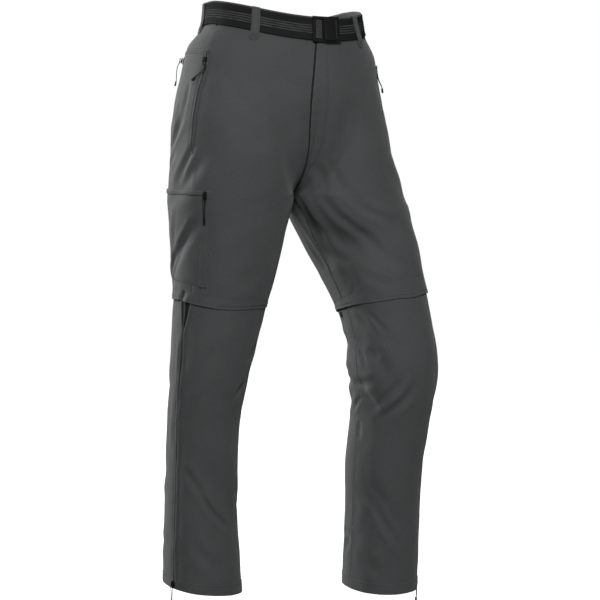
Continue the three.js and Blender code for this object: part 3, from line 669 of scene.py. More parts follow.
pullPlaces = {}
for pullName, (side, around, level, rows) in pulls.items():
    axes, origin = pullFrame(side, around, level * mm)
    route = mm * np.array(rows) * (-1 if side == "right" else 1, 1, 1)
    path = loopPath(route) @ axes + origin
    length = metresAlong(path)[-1]
    points = tubePoints(path, pullSizes["diameter"] / 2, pullSizes["sides"])
    loop = addPiece(gridMesh(f"pullLoop.{pullName}", points, closed=True), braid, f"pull_cord_{pullName}")
    pullPlaces[pullName] = (loop, path, length)
    print(f"cord {pullName}: {length * 1000:.1f} mm")


# A copy of a solid with its doubles merged and its edges rounded
def roundedCopy(node, name, material, radius, segments=2):
    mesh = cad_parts[node].data.copy()
    mesh.name = name
    mesh.materials.clear()
    piece = addPiece(mesh, material, node)
    weld = piece.modifiers.new("weld", "WELD")
    weld.merge_threshold = 0.01 * mm
    bevel = piece.modifiers.new("roundedEdges", "BEVEL")
    bevel.width = radius
    bevel.segments = segments
    bevel.limit_method = "ANGLE"
    bevel.angle_limit = math.radians(40)
    return piece


for pullName, (loop, path, length) in pullPlaces.items():
    roundedCopy(f"slider_{pullName}", f"slider.{pullName}", enamel, 0.3 * mm)
    grip = roundedCopy(f"pull_grip_{pullName}", f"grip.{pullName}", moulded, 0.6 * mm, 3)
print("pulls made:", len(pullPlaces))

# Strips that lie on the cloth. A section is a closed loop of places across the strip and heights over the
# cloth.


# A rounded bar: half * cos and height * sin of an angle, each to the power of the squareness
def softBar(half, low, high, count, squareness=0.5):
    angle = np.linspace(0, 2 * np.pi, count, endpoint=False) + np.pi / count
    c, n = (np.sign(v) * np.abs(v) ** squareness for v in (np.cos(angle), np.sin(angle)))
    return (half * c)[:, None], ((low + high) / 2 + (high - low) / 2 * n)[:, None]


# The section carried down the cloth: what lies across becomes a change of around
def sweepDown(side, around, level, across, lift):
    a, l, lift = np.broadcast_arrays(around + across / pace(side, around, level), level, lift)
    return clothPoint(side, np.mod(a, 1), l, lift), clothUv(a, l)


# The section carried round the cloth: what lies across becomes a change of level
def sweepRound(side, around, level, across, lift):
    a, l = np.broadcast_arrays(around, level + across)
    return clothPoint(side, np.mod(a, 1), l, lift + 0 * l), clothUv(a, l)


def addStrip(name, swept, material, *nodes):
    return addPiece(gridMesh(name, swept[0], closed=True, uv=swept[1]), material, *nodes)


# How far an arc of this radius has dropped at a distance from the edge: r - sqrt(r * r - (r - d)^2)
def arcDrop(distance, radius):
    return radius - np.sqrt(np.maximum(radius**2 - np.maximum(radius - distance, 0) ** 2, 0))


stitchSizes = {"length": 2.1 * mm, "spacing": 3.0 * mm, "width": 0.55 * mm, "height": 0.35 * mm}
stitchGroups = {"cloth": [], "belt": []}


# One row: stitches at equal steps along a line of surface points, each with its direction and the
# surface's normal
def sewRow(group, points, normals, spacing=None):
    step = spacing or stitchSizes["spacing"]
    distance = metresAlong(points)
    at = np.arange(step * 0.7, distance[-1] - step * 0.4, step)
    if len(at):
        along = readAt(at + 0.5 * mm, distance, points) - readAt(at - 0.5 * mm, distance, points)
        stitchGroups[group].append((readAt(at, distance, points), along, readAt(at, distance, normals)))


def sewDown(side, around, start, end, lift=0.0, offset=0.0):
    level = np.linspace(start, end, max(int(abs(end - start) / (2 * mm)), 3))
    around = np.interp(level, *around) if isinstance(around, tuple) else around + 0 * level
    around = np.mod(around + offset / pace(side, around, level), 1)
    sewRow("cloth", clothPoint(side, around, level, lift), bareNormal(side, around, level))


def sewRound(side, start, end, level, lift=0.0):
    around = np.linspace(start, end, max(int(abs(end - start) * 250), 3))
    level = level(around) if callable(level) else level + 0 * around
    around = np.mod(around, 1)
    sewRow("cloth", clothPoint(side, around, level, lift), bareNormal(side, around, level))


# Each stitch is a bar of thread, 8 corners, narrower on top, laid along its row
def finishStitches(group, material):
    centre, along, normal = (np.concatenate(parts) for parts in zip(*stitchGroups[group]))
    along, normal = unit(along), unit(normal)
    across = np.cross(normal, along)
    corner = np.array([(x * half, y * wide, z) for half, wide, z in ((0.5, 0.5, -0.2), (0.36, 0.24, 1))
                       for x, y in ((-1, -1), (1, -1), (1, 1), (-1, 1))])
    corner = corner * (stitchSizes["length"], stitchSizes["width"], stitchSizes["height"])
    ways = zip(corner.T, (along, across, normal))
    points = centre[:, None] + sum(share[None, :, None] * way[:, None] for share, way in ways)
    box = np.array([(0, 3, 2, 1), (4, 5, 6, 7), (0, 1, 5, 4), (1, 2, 6, 5), (2, 3, 7, 6), (3, 0, 4, 7)])
    faces = (np.arange(len(centre))[:, None, None] * 8 + box).reshape(-1, 4)
    addPiece(smoothMesh(f"stitches.{group}", points.reshape(-1, 3), faces.tolist()), material)
    print(f"{group} stitches: {len(centre)}")


sideSeam, legSeam = garment["shortsSideSeam"], garment["legSideSeam"]
# The right hand zip wanders from its seam: level, and how far around
handDrifts = np.array([
    (-300, 0), (-270, 0.014), (-236, 0.024), (-202, 0.012), (-168, 0.004), (-138, 0), (-115, -0.011),
    (-88, -0.018), (-72, -0.016), (-22, 0),
])


# Straight between the rows of the table
def handDrift(side, level):
    if side == "left":
        return 0 * level
    return np.interp(level, handDrifts[:, 0] * mm, handDrifts[:, 1])


# Panels
panels = {
    "step": 3.6 * mm,
    "edges": mm * np.array([0.5, 1.1, 1.8, 2.8, 4.4, 6.4, 7.6, 9.0]),
    "thickness": 1.0 * mm,
    "roll": 1.2 * mm,  # how far the edge turns in at a seam
    "insideLegRoll": 0.2,  # the share of it by the inside leg seams
    "rollWidth": 1.3 * mm,
    "felled": 0.45 * mm,  # the seam's doubled cloth, on its back edge
    "felledWidth": 6.5 * mm,
    "pucker": 0.35 * mm,
    "puckerLength": 11 * mm,
    "puckerWidth": 6 * mm,
    "hemDepth": 19 * mm,
    "hemLift": 0.5 * mm,
    "yokeGroove": 0.9 * mm,
    "yokeGrooveWidth": 1.1 * mm,
    "fullness": {"right": 0.9 * mm, "left": 0.5 * mm},  # how far the leg's front fills out under its flap
    "seamStitches": (-2.4 * mm, -5.8 * mm),
    "besideSeam": 2.6 * mm,
}


# The seam of the back yoke dips a little from the side to the centre back
def yokeLevel(around):
    return -70 * mm - 6 * mm * smoothStep(0.47, 1.0, around)


# Height over the surface by each seam, with d the distance from it: -roll * exp(-(d / rollWidth)^2), plus
# the doubled cloth out to its width, plus puckers, cos(2 pi level / puckerLength) * exp(-(d / puckerWidth)^2)
def seamLift(side, around, level, seam, doubled, depth):
    q = panels
    at = np.clip(seam, 0.004, 0.996)
    d = np.abs(around - seam) * pace(side, at + 0 * level, level)
    lift = -depth * q["roll"] * bell(d, q["rollWidth"])
    wave = np.cos(2 * np.pi * level / q["puckerLength"] + 2.5 * np.sin(level * 71 + seam * 9))
    lift += q["pucker"] * wave * bell(d, q["puckerWidth"]) * (0.55 + 0.45 * np.sin(level * 33 + seam * 5))
    if doubled:
        width = q["felledWidth"]
        lift += q["felled"] * smoothStep(0.6 * mm, 2 * mm, d) * smoothStep(width + 1.2 * mm, width, d)
    return lift


def panelLift(side, around, level, start, end, isLeg, doubledAt):
    q = panels
    lift = 0 * level if isLeg else shortsSkin(level)
    for seam in (start, end):
        depth = q["insideLegRoll"] if isLeg and seam in (0, 1) else 1.0
        lift = lift + seamLift(side, around, level, seam, seam == doubledAt, depth)
    if isLeg:
        hem = garment["hemLevel"][side] + q["hemDepth"]
        fullness = q["fullness"][side] * smoothStep(0.02, 0.08, around) * smoothStep(0.38, 0.26, around)
        lift = lift + fullness * smoothStep(-570 * mm, -505 * mm, level)
        return lift + q["hemLift"] * smoothStep(hem + 0.8 * mm, hem - 0.8 * mm, level)
    d = level - yokeLevel(around)
    groove = -q["yokeGroove"] * bell(d, q["yokeGrooveWidth"])
    groove += q["felled"] * smoothStep(-0.6 * mm, -2 * mm, d) * smoothStep(-7.5 * mm, -6.5 * mm, d)
    return lift + groove * smoothStep(0.4655, 0.4685, around)


def addPanel(name, side, ends, levels, isLeg, doubledAt, node):
    q, (start, end) = panels, ends
    middle = float(pace(side, np.array((start + end) / 2), np.array(sum(levels) / 2)))
    edge = garment["seamGap"] / 2 / middle
    around = places(start + edge, end - edge, middle, q["step"], q["edges"])
    rows = [places(*levels, 1, q["step"], q["edges"][:4])]
    if isLeg:  # closer rows at the hem's turn and at the yoke's seam
        rows.append(garment["hemLevel"][side] + q["hemDepth"] + np.array([-1.6, -0.8, 0, 0.8, 1.6]) * mm)
    elif start > 0:
        rows.append(np.arange(-80, -66, 0.9) * mm)
    a, l = np.meshgrid(around, np.unique(np.concatenate(rows))[::-1])
    lift = panelLift(side, a, l, start, end, isLeg, doubledAt)
    shifted = a + handDrift(side, l) * bell(a - sideSeam, 0.09) * (not isLeg)
    mesh = gridMesh(name, clothPoint(side, shifted, l, lift), flip=side == "left", uv=clothUv(a, l))
    piece = addCloth(mesh, q["thickness"], node)


gap = garment["seamGap"] / 2
waistSeam, knee, legTop = garment["waistSeam"] - gap, garment["shortsEnd"], -495 * mm
for side in ("right", "left"):
    q, hem = panels, garment["hemLevel"][side]
    short, long, felled = (waistSeam, knee), (legTop, hem), panels["felled"]
    addPanel(f"front.{side}", side, (0, sideSeam), short, False, None, f"front_{side}")
    addPanel(f"back.{side}", side, (sideSeam, 1), short, False, 1, f"back_{side}")
    addPanel(f"legFront.{side}", side, (0, legSeam), long, True, 0, f"leg_front_{side}")
    addPanel(f"legBack.{side}", side, (legSeam, 1), long, True, None, f"leg_back_{side}")
    for below in (2.2 * mm, 5.8 * mm):
        sewRound(side, 0.476, 0.995, lambda a: yokeLevel(a) - below, felled)
    for start, end in ((0.003, 0.455), (0.472, 0.997)):
        sewRound(side, start, end, hem + q["hemDepth"] - 1.5 * mm, q["hemLift"])
    for inset in q["seamStitches"]:
        sewDown(side, 1.0, -40 * mm, -300 * mm, felled, inset)
    sewDown(side, 0.0, -330 * mm, -482 * mm, 0.6 * mm, q["besideSeam"])
    sewDown(side, 0.0, -507 * mm, hem + 6 * mm, felled, q["besideSeam"])
    sewDown(side, sideSeam, -244 * mm, -300 * mm, 0.3 * mm, q["besideSeam"])
print("panels made")

# Fly: the left front runs on over the right one, down to a slanting end
fly = {
    "edge": ([-290, -286, -198, -150, -106, -64, -22], [0.002, 0.004, 0.021, 0.0235, 0.0185, 0.011, 0.0035]),
    "under": (0.006, 0.035),  # where the layer comes out of the left front, at its bottom and above
    "narrows": 70 * mm,
    "sunk": 0.9 * mm,
    "lift": 1.5 * mm,
    "thickness": 0.9 * mm,
    "bottom": -289 * mm,
}


# Height: from sunk at the hidden end to the lift by a smooth step, less the rolled edge's bell of 0.7 mm and
# 1.8 mm at its foot, with a slow wave of 0.25 mm down its edge
def makeFly(f):
    level = places(waistSeam + 1 * mm, f["bottom"], 1, 3 * mm, (0.8 * mm, 2 * mm))
    share = np.concatenate([np.linspace(0, 0.9, 16), [0.93, 0.955, 0.975, 0.99, 1.0]])
    s, l = np.meshgrid(share, level)
    levels, edges = (np.array(v, float) for v in f["edge"])
    edge = np.interp(l, levels * mm, edges)
    least, most = f["under"]
    under = least + (most - least) * smoothStep(f["bottom"], f["bottom"] + f["narrows"], l)
    turns = -under + (edge + under) * s
    wide = (edge + under) * 0.5
    lift = -f["sunk"] + (f["lift"] + f["sunk"]) * smoothStep(0, 0.35, s)
    lift = lift - 0.7 * mm * bell((1 - s) * wide, 1.2 * mm)
    lift = lift + 0.25 * mm * np.cos(l * 2 * np.pi / (23 * mm)) * s
    lift = lift - 1.8 * mm * smoothStep(f["bottom"] + 16 * mm, f["bottom"], l)
    piece = addCloth(gridMesh("flyLayer", waistPoint(turns, l, lift), uv=clothUv(turns, l)), f["thickness"])
    # The fly's zip tape, in the dark tape colour, set 0.7 mm out past the overlap's edge and wider towards
    # the top: partly the real tape under the overlap, partly a painted shadow line standing for the shade
    # under the overlap's edge.
    level = np.linspace(-24 * mm, -283 * mm, 90)
    across, lift = softBar(1, -0.4 * mm, 0.5 * mm, 14)
    half = 2.2 * mm + 0.9 * mm * smoothStep(-170 * mm, -110 * mm, level)
    edge = np.interp(level, levels * mm, edges)
    tape = sweepDown("right", edge, level, across * half + 0.7 * mm, lift + shortsSkin(level))
    addStrip("flyTapeShadowLine", tape, zipTape)


makeFly(fly)

# Waistband: a folded band in two halves, its top edge rounded over
band = {"outer": 0.8 * mm, "thickness": 2.2 * mm, "edgeRadius": 1.0 * mm, "stitches": (18.4 * mm, -23.2 * mm)}


# Outer height less the arc's drop towards the top edge
def makeBand(b):
    top, below = garment["waistTop"], 0.05 * mm
    around = places(0.0008, 0.9992, 0.45, 3.4 * mm)
    level = places(top, garment["waistSeam"] + gap, 1, 2.4 * mm, (0.2 * mm, 0.5 * mm, 1.0 * mm))
    a, l = np.meshgrid(around, level)
    lift = b["outer"] - arcDrop(top - l, b["edgeRadius"])
    for side in ("right", "left"):
        points = clothPoint(side, a, l, lift)
        mesh = gridMesh(f"waistband.{side}", points, flip=side == "left", uv=clothUv(a, l))
        piece = addCloth(mesh, b["thickness"], f"waistband_{side}")
        for row, height in zip(b["stitches"], (b["outer"], below)):
            sewRound(side, 0.03, 0.97, row, height)


makeBand(band)

# Belt: woven webbing with a raised middle of fine cords, all round, its ends under the buckle
belt = {
    "top": 17 * mm,
    "bottom": -21 * mm,
    "inner": 1.15 * mm,
    "thickness": 1.8 * mm,
    "start": -0.04,
    "end": 1.955,
    "cordHeight": 0.45 * mm,
    "stitches": (14.6 * mm, -18.6 * mm),
    "stitchSpacing": 4 * mm,
}


# Outside: thickness + cordHeight * |sin(pi (level - cordsAt) / cordSpacing)| within the middle zone
def makeBelt(b, cords):
    turns = np.linspace(b["start"], b["end"], 300)
    outer = np.linspace(b["top"], b["bottom"], 76)
    inner = np.linspace(b["bottom"], b["top"], 8)[1:-1]
    edge = np.minimum(b["top"] - outer, outer - b["bottom"])
    fromMiddle = outer - cords["cordsAt"]
    zone = smoothStep(cords["cordZone"], cords["cordZone"] - 0.8 * mm, np.abs(fromMiddle))
    raised = b["cordHeight"] * np.abs(np.sin(np.pi * fromMiddle / cords["cordSpacing"])) * zone
    top = b["inner"] + b["thickness"] - 0.35 * mm - arcDrop(edge, 0.8 * mm) + raised
    t, l = np.broadcast_arrays(turns, np.concatenate([outer, inner])[:, None])
    lift = np.concatenate([top, b["inner"] + 0 * inner])[:, None] + 0.08 * mm * np.sin(turns * 190)
    uv = np.stack([t * 0.45, l], -1)
    addPiece(gridMesh("belt", waistPoint(t, l, lift), closed=True, uv=uv), webbing, "belt")
    t = np.linspace(b["start"], b["end"], 500)
    for level in b["stitches"]:
        outwards = np.gradient(waistPoint(t, level, 0.0), axis=0)[:, [1, 0, 2]] * (-1, 1, 0)
        points = waistPoint(t, level, b["inner"] + b["thickness"] - 0.38 * mm)
        sewRow("belt", points, outwards, b["stitchSpacing"])


makeBelt(belt, webbingFinish)

# Belt loops
loops = {
    "width": 14.5 * mm,
    "thickness": 1.3 * mm,
    "corner": 4 * mm,
    "turns": {
        "front_right": 0.243, "side_right": 0.565, "back": 1.0, "side_left": 1.435, "front_left": 1.785,
    },
    "lean": {"front_left": 0.022},  # how far its top end is laid over, in turns
    # level and height of the underside
    "profile": mm * np.array([
        (20.6, 0.9), (19.8, 1.8), (18.6, 3.0), (16.5, 3.4), (7, 3.3), (-7, 3.3), (-18, 3.3), (-24, 3.0),
        (-28.5, 2.4), (-31.5, 1.6), (-33.5, 0.9), (-35.2, 0.4), (-36.5, 0.3),
    ]),
    "stitchesAt": 4.6 * mm,
    "tackHalf": 5.2 * mm,
    "tackRows": (-26.5 * mm, -28.5 * mm, -30.5 * mm),
}


# The section of a flat bar with thick edges, carried down a smooth curve through the profile; its width
# drops by an arc at the lower end
def makeLoops(q):
    line = curveThrough(np.column_stack([q["profile"], 0 * q["profile"][:, 0]]), 6)
    level, under = line[:, 0][None], line[:, 1][None]
    toEnd = (metresAlong(line)[-1] - metresAlong(line))[None]
    half, thick = q["width"] / 2, q["thickness"]
    narrow = 1 - arcDrop(toEnd, q["corner"]) / half
    section, lift = softBar(half, 0, thick, 28, 0.35)
    rim = 0.12 * mm * bell(np.abs(section) - half + 2 * mm, 0.8 * mm)
    for name, turn in q["turns"].items():
        side, around = ("right", turn) if turn <= 1 else ("left", 2 - turn)
        metre = float(pace(side, np.array(min(around, 0.99)), np.array(0.0)))
        lean = q["lean"].get(name, 0.0) * smoothStep(-24 * mm, 18 * mm, level)
        turns = turn + lean + section * narrow / metre
        points = waistPoint(turns, level, under + lift - rim * (lift > thick / 2))
        mesh = gridMesh(f"beltLoop.{name}", points, closed=True, uv=clothUv(turns, level + 0 * turns))
        addPiece(mesh, cloth, f"belt_loop_{name}")
        for sign in (-1, 1):
            t = turn + lean[0] + sign * q["stitchesAt"] / metre
            base, low, high = (waistPoint(t, level[0], under[0] + h) for h in (0, thick, 3 * mm))
            sewRow("cloth", low[8:-3], (high - base)[8:-3])
        t = turn + np.linspace(-1, 1, 14) * q["tackHalf"] / metre
        for row in q["tackRows"]:
            sewn = waistPoint(t, row, np.interp(-row, -level[0], under[0]) + thick)
            sewRow("cloth", sewn, sewn - waistPoint(t, row, 0.0), 2.2 * mm)


makeLoops(loops)
print("waist made")

# Buckle: the frame keeps its solid's form. Sizes in mm: middle and half width sideways, middle and half
# height, underside and top over the cloth
sizeNames = ("x", "halfX", "z", "halfZ", "low", "high", "corner", "edge")
buckle = {
    "bar": dict(zip(sizeNames, (-0.5, 5.0, -1.75, 16.25, 3.3, 5.3, 1.0, 0.6))),
    "plate": dict(zip(sizeNames, (19.2, 12.2, -1.75, 19.25, 6.65, 8.65, 2.2, 0.9))),
    "endBar": dict(zip(sizeNames, (32.9, 1.5, -1.75, 15.5, 6.2, 7.6, 0.8, 0.5))),
    "ridges": 9,
    "ridgeHeight": 0.9,
    "ridgeBase": 0.6,
    "crown": 0.5,
    "groove": (12, 1.1, 0.35),  # the plate's line: its place, width and depth
}
waistMetre = float(pace("right", np.array(0.03), np.array(0.0)))


# A slab on the waist: columns sideways, each a closed section from its underside over its top. The half
# height drops by the corner's arc towards both ends, and the top by the edge's arc towards all sides.
def slabPoints(q, topOf):
    closer = np.array([0, 0.03, 0.1, 0.22, 0.4, 0.62, 0.85, 1.0])
    near = closer * max(q["corner"], q["edge"])
    halfX = q["halfX"]
    x = np.concatenate([near - halfX, np.linspace(-halfX + 2.4, halfX - 2.4, 9), halfX - near[::-1]])
    toEnd = (halfX - np.abs(x))[None]
    half = q["halfZ"] - arcDrop(toEnd, q["corner"])
    rim = closer * q["edge"] / q["halfZ"]
    share = np.concatenate([-1 + rim, np.linspace(-0.93, 0.93, 90), 1 - rim[::-1]])[:, None]
    z = share * half
    top = q["high"] + topOf(x[None] + 0 * z, z) - arcDrop((1 - np.abs(share)) * q["halfZ"] + 0 * z, q["edge"])
    top = np.maximum(top - arcDrop(toEnd, q["edge"]), q["low"] + 0.2)
    under = np.linspace(1, -1, 6)[:, None] * half
    z = np.concatenate([z, under])
    height = np.concatenate([top, q["low"] + 0 * under])
    turns = -(q["x"] + x[None] + 0 * z) * mm / waistMetre
    return waistPoint(turns, (q["z"] + z) * mm, height * mm)


# Ridges: |cos(pi ridges z / (2 half height))| less their base. Plate: a crown of 1 - (x / half width)^2, less
# the groove's bell.
def makeBuckle(q):
    at, width, depth = q["groove"]
    turn = np.pi * q["ridges"] / (2 * q["bar"]["halfZ"])
    ridge = lambda x, z: q["ridgeHeight"] * (np.abs(np.cos(turn * z)) - q["ridgeBase"])
    crown = lambda x, z: q["crown"] * (1 - (x / q["plate"]["halfX"]) ** 2) - depth * bell(z - at, width)
    addPiece(gridMesh("buckleBar", slabPoints(q["bar"], ridge), closed=True), mouldedWorn, "buckle_bar")
    addPiece(gridMesh("buckleEndBar", slabPoints(q["endBar"], ridge), closed=True), mouldedWorn)
    addPiece(gridMesh("bucklePlate", slabPoints(q["plate"], crown), closed=True), moulded, "buckle_plate")
    roundedCopy("buckle_frame", "buckleFrame", moulded, 0.7 * mm, 3)


makeBuckle(buckle)

# Zips. Every one has a tape, a coil of teeth, and lips of cloth over its sides.
zips = {
    "pitch": 1.6 * mm,
    "step": 0.4 * mm,
    "tapeEvery": 12,  # the tape takes one of so many of the coil's steps
    "toothHeight": 0.45 * mm,
    "toothSide": 0.35 * mm,
    "tape": (0.05 * mm, 0.55 * mm),
    "coil": (0.3 * mm, 1.15 * mm),
    "lipHigh": 1.45 * mm,
}


# Teeth: the coil's top and sides move by 0.5 + 0.5 cos and by cos of 2 pi along / pitch
def addZip(name, sweep, line, along, coilHalf, tapeHalf, skin, *nodes):
    across, height = softBar(coilHalf, *zips["coil"], 12, 0.8)
    turn = 2 * np.pi * along / zips["pitch"]
    sideways = zips["toothSide"] * np.sign(across) * np.cos(turn)
    lift = height + zips["toothHeight"] * (0.5 + 0.5 * np.cos(turn)) * (height > 0.8 * mm) + skin
    addStrip(f"{name}.coil", sweep(*line, across + sideways, lift), zipCoil, *nodes)
    coarse = lambda v: v[..., :: zips["tapeEvery"]] if isinstance(v, np.ndarray) and v.ndim else v
    across, height = softBar(1, *zips["tape"], 14, 0.4)
    tape = sweep(*(coarse(v) for v in line), across * coarse(tapeHalf), height + coarse(skin))
    addStrip(f"{name}.tape", tape, zipTape)


def addLip(name, sweep, line, offset, half, skin=0.0, high=zips["lipHigh"]):
    across, lift = softBar(half, -0.3 * mm, high, 16, 0.6)
    addStrip(name, sweep(*line, across + offset, lift + skin), cloth)


handZip = {
    "from": -72 * mm,
    "to": -236 * mm,
    "coilHalf": 1.2 * mm,
    "tapeHalf": 4.0 * mm,
    "lipAt": 2.7 * mm,
    "lipHalf": 2.0 * mm,
    "lipHigh": 1.05 * mm,
    "closing": 1.6 * mm,  # how far the lips draw together at its ends
    "stitches": 8.4 * mm,
    "lapHalf": 9 * mm,
    "lap": (-0.9 * mm, 0.34 * mm),  # low enough for its edges to run out into the cloth
}


def makeHandZip(side, q):
    top, bottom = q["from"], q["to"]
    lineAt = lambda level: (side, sideSeam + handDrift(side, level), level)
    level = np.arange(top, bottom, -zips["step"])
    addZip(f"handZip.{side}", sweepDown, lineAt(level), level, q["coilHalf"], q["tapeHalf"], 0.0,
           f"hand_zip_{side}")
    level = np.linspace(top + 4 * mm, bottom - 4 * mm, 70)
    wave = 0.35 * mm * np.sin(level * 90) + 0.2 * mm * np.sin(level * 231 + 1)
    nearEnd = np.maximum(smoothStep(bottom + 16 * mm, bottom, level), smoothStep(top - 8 * mm, top, level))
    for sign, name in ((-1, "front"), (1, "back")):
        offset = sign * (q["lipAt"] - q["closing"] * nearEnd + wave * sign)
        addLip(f"handZipLip.{side}.{name}", sweepDown, lineAt(level), offset, q["lipHalf"], high=q["lipHigh"])
        seam = (level[::-1], sideSeam + handDrift(side, level[::-1]))
        sewDown(side, seam, top + 3 * mm, bottom - 3 * mm, 0.1 * mm, sign * q["stitches"])
    for name, start, end in (("upper", -23 * mm, top + 3 * mm), ("lower", bottom - 3 * mm, -468 * mm)):
        level = np.linspace(start, end, 60)
        skin = shortsSkin(level) + 0.05 * mm * np.sin(level * 80)
        skin -= 0.5 * mm * (smoothStep(start - 10 * mm, start, level) + smoothStep(end + 14 * mm, end, level))
        across, lift = softBar(q["lapHalf"], *q["lap"], 24, 1.0)
        addStrip(f"sideLap.{side}.{name}", sweepDown(*lineAt(level), across, lift + skin), cloth)


legZip = {
    "from": -498 * mm,
    "coilHalf": 1.6 * mm,
    "tapeHalf": 5 * mm,
    "lipHalf": 2.4 * mm,
    "lipHigh": 1.5 * mm,
    "closed": 2.9 * mm,
    "wedge": 11.5 * mm,  # how much wider the lips part below the flap
    "wedgeFrom": -574 * mm,
    "parted": 1.6 * mm,  # and at the hem
    "stitches": 8.6 * mm,
}


def makeLegZip(side, q):
    hem = garment["hemLevel"][side]
    lineAt = lambda level: (side, legSeam + 0 * level, level)
    wedgeAt = lambda level: q["wedge"] * smoothStep(q["wedgeFrom"], -504 * mm, level)
    level = np.arange(q["from"], hem + 1 * mm, -zips["step"])
    tapeHalf = q["tapeHalf"] + wedgeAt(level)
    addZip(f"legZip.{side}", sweepDown, lineAt(level), level, q["coilHalf"], tapeHalf, 0.0, f"leg_zip_{side}")
    level = np.linspace(q["from"], hem + 0.4 * mm, 190)
    spread = q["closed"] + wedgeAt(level) + q["parted"] * smoothStep(hem + 40 * mm, hem, level)
    for sign, name in ((-1, "front"), (1, "back")):
        wave = 0.5 * mm * np.sin(level * 47 + sign) + 0.3 * mm * np.sin(level * 133 + 2 * sign)
        offset = sign * (spread + wave)
        addLip(f"legZipLip.{side}.{name}", sweepDown, lineAt(level), offset, q["lipHalf"], high=q["lipHigh"])
        sewDown(side, legSeam, -580 * mm, hem + 4 * mm, 0.1 * mm, sign * q["stitches"])


for side in ("right", "left"):
    makeHandZip(side, handZip)
    makeLegZip(side, legZip)

backZip = {
    "from": 0.625,
    "to": 0.83,
    "level": -88 * mm,
    "metre": 0.42,
    "coilHalf": 1.4 * mm,
    "tapeHalf": 3.8 * mm,
    "lipAt": 3.3 * mm,
    "lipHalf": 2.2 * mm,
    "stitches": 7.2 * mm,
}


def makeBackZip(q):
    start, end, level = q["from"], q["to"], q["level"]
    around = np.arange(start, end, zips["step"] / q["metre"])
    line = ("right", around, level)
    along = around * q["metre"]
    addZip("backZip", sweepRound, line, along, q["coilHalf"], q["tapeHalf"], 0.0, "back_zip")
    around = np.linspace(start - 0.006, end + 0.006, 60)
    for sign, name in ((-1, "lower"), (1, "upper")):
        offset = sign * q["lipAt"] + 0.3 * mm * np.sin(around * 60 + sign)
        addLip(f"backZipLip.{name}", sweepRound, ("right", around, level), offset, q["lipHalf"])
        sewRound("right", start - 0.004, end + 0.004, level + sign * q["stitches"], 0.1 * mm)


makeBackZip(backZip)
print("zips made")

# Knee: a ring of zip between the shorts and the leg, under a flap of cloth that goes on from the shorts
kneeFlap = {
    "top": -487.5 * mm,
    "thickness": 1.0 * mm,
    "opening": 0.478,  # where the flap's two ends meet
    "gap": 0.0016,
    "slant": 0.011,
    "edge": {  # around and level of the lower edge
        "right": [(0, -499), (0.1, -499), (0.18, -501), (0.255, -505), (0.33, -509), (0.42, -507),
                  (0.478, -506), (0.553, -509), (0.7, -507), (0.85, -502), (1, -499)],
        "left": [(0, -505), (0.09, -511), (0.19, -517), (0.257, -520), (0.355, -517), (0.478, -512),
                 (0.6, -508), (0.8, -505), (0.95, -503), (1, -505)],
    },
    "flare": 1.1 * mm,
    "close": {"right": 0.85, "left": 0.5},  # how much less it flares in front
    "hemStitch": 6 * mm,
    "zipLevel": -492.5 * mm,
    "zipSunk": 1.7 * mm,
    "coilHalf": 1.5 * mm,
    "tapeHalf": 4.5 * mm,
    "metre": 0.5,
}


# Lower edge: a straight line between its rows, with a wave. Height: the shorts' ease plus the flare's smooth
# step and its waves, less a bell at the hem's stitches.
def makeKnee(side, q):
    edgeRows, opening = np.array(q["edge"][side]), q["opening"]
    edgeAt = lambda a: (np.interp(np.mod(a, 1), edgeRows[:, 0], edgeRows[:, 1]) + 0.5 * np.sin(a * 43)) * mm
    around = places(opening + q["gap"], opening + 1 - q["gap"], q["metre"], 3.6 * mm, (0.6 * mm, 1.5 * mm))
    share = np.array([0, 0.06, 0.16, 0.28, 0.4, 0.52, 0.62, 0.7, 0.76, 0.82, 0.88, 0.94, 0.975, 1.0])
    a, s = np.meshgrid(around, share)
    l = q["top"] + (edgeAt(a) - q["top"]) * s
    wave = 0.4 * mm * np.sin(a * 75 + 2 * np.sin(a * 17)) * s
    front = np.mod(a, 1)
    close = q["close"][side] * smoothStep(0.06, 0.12, front) * smoothStep(0.37, 0.28, front)
    lift = shortsSkin(np.maximum(l, garment["shortsEnd"])) + q["flare"] * (1 - close) * smoothStep(0.1, 1, s)
    lift += wave * (1 - 0.7 * close) - 0.15 * mm * smoothStep(0.14, 0, s)
    lift -= 0.25 * mm * bell(s - 0.7, 0.05)
    points = clothPoint(side, np.mod(a + q["slant"] * (s - 0.5), 1), l, lift)
    mesh = gridMesh(f"kneeFlap.{side}", points, flip=side == "left", uv=clothUv(a, l))
    piece = addCloth(mesh, q["thickness"], f"knee_flap_{side}")
    skin = shortsSkin(garment["shortsEnd"]) + q["flare"] * 0.6
    sewRound(side, opening + 0.01, opening + 0.99, lambda a: edgeAt(a) + q["hemStitch"], skin)
    around = np.arange(opening + 0.002, opening + 0.998, zips["step"] / q["metre"])
    line, along = (side, around, q["zipLevel"]), around * q["metre"]
    addZip(f"kneeZip.{side}", sweepRound, line, along, q["coilHalf"], q["tapeHalf"], -q["zipSunk"],
           f"knee_zip_{side}")


for side in ("right", "left"):
    makeKnee(side, kneeFlap)
print("knees made")

# Thigh pocket: a patch with a little room in it, a raised top edge, and its zip under a placket in front
pocket = {
    "front": 0.408,
    "back": 0.605,
    "top": -306 * mm,
    "bottom": -474 * mm,
    "lift": 1.1 * mm,
    "room": 1.3 * mm,
    "thickness": 0.9 * mm,
    "closer": mm * np.array([0.5, 1.2, 2.2, 3.6]),  # the rows by its edges
    "edge": (-303 * mm, -310.5 * mm, 0.6 * mm, 2.7 * mm),
    "zipAround": 0.4,
    "placketAround": 0.3905,
    "placketHalf": 6.2 * mm,
}


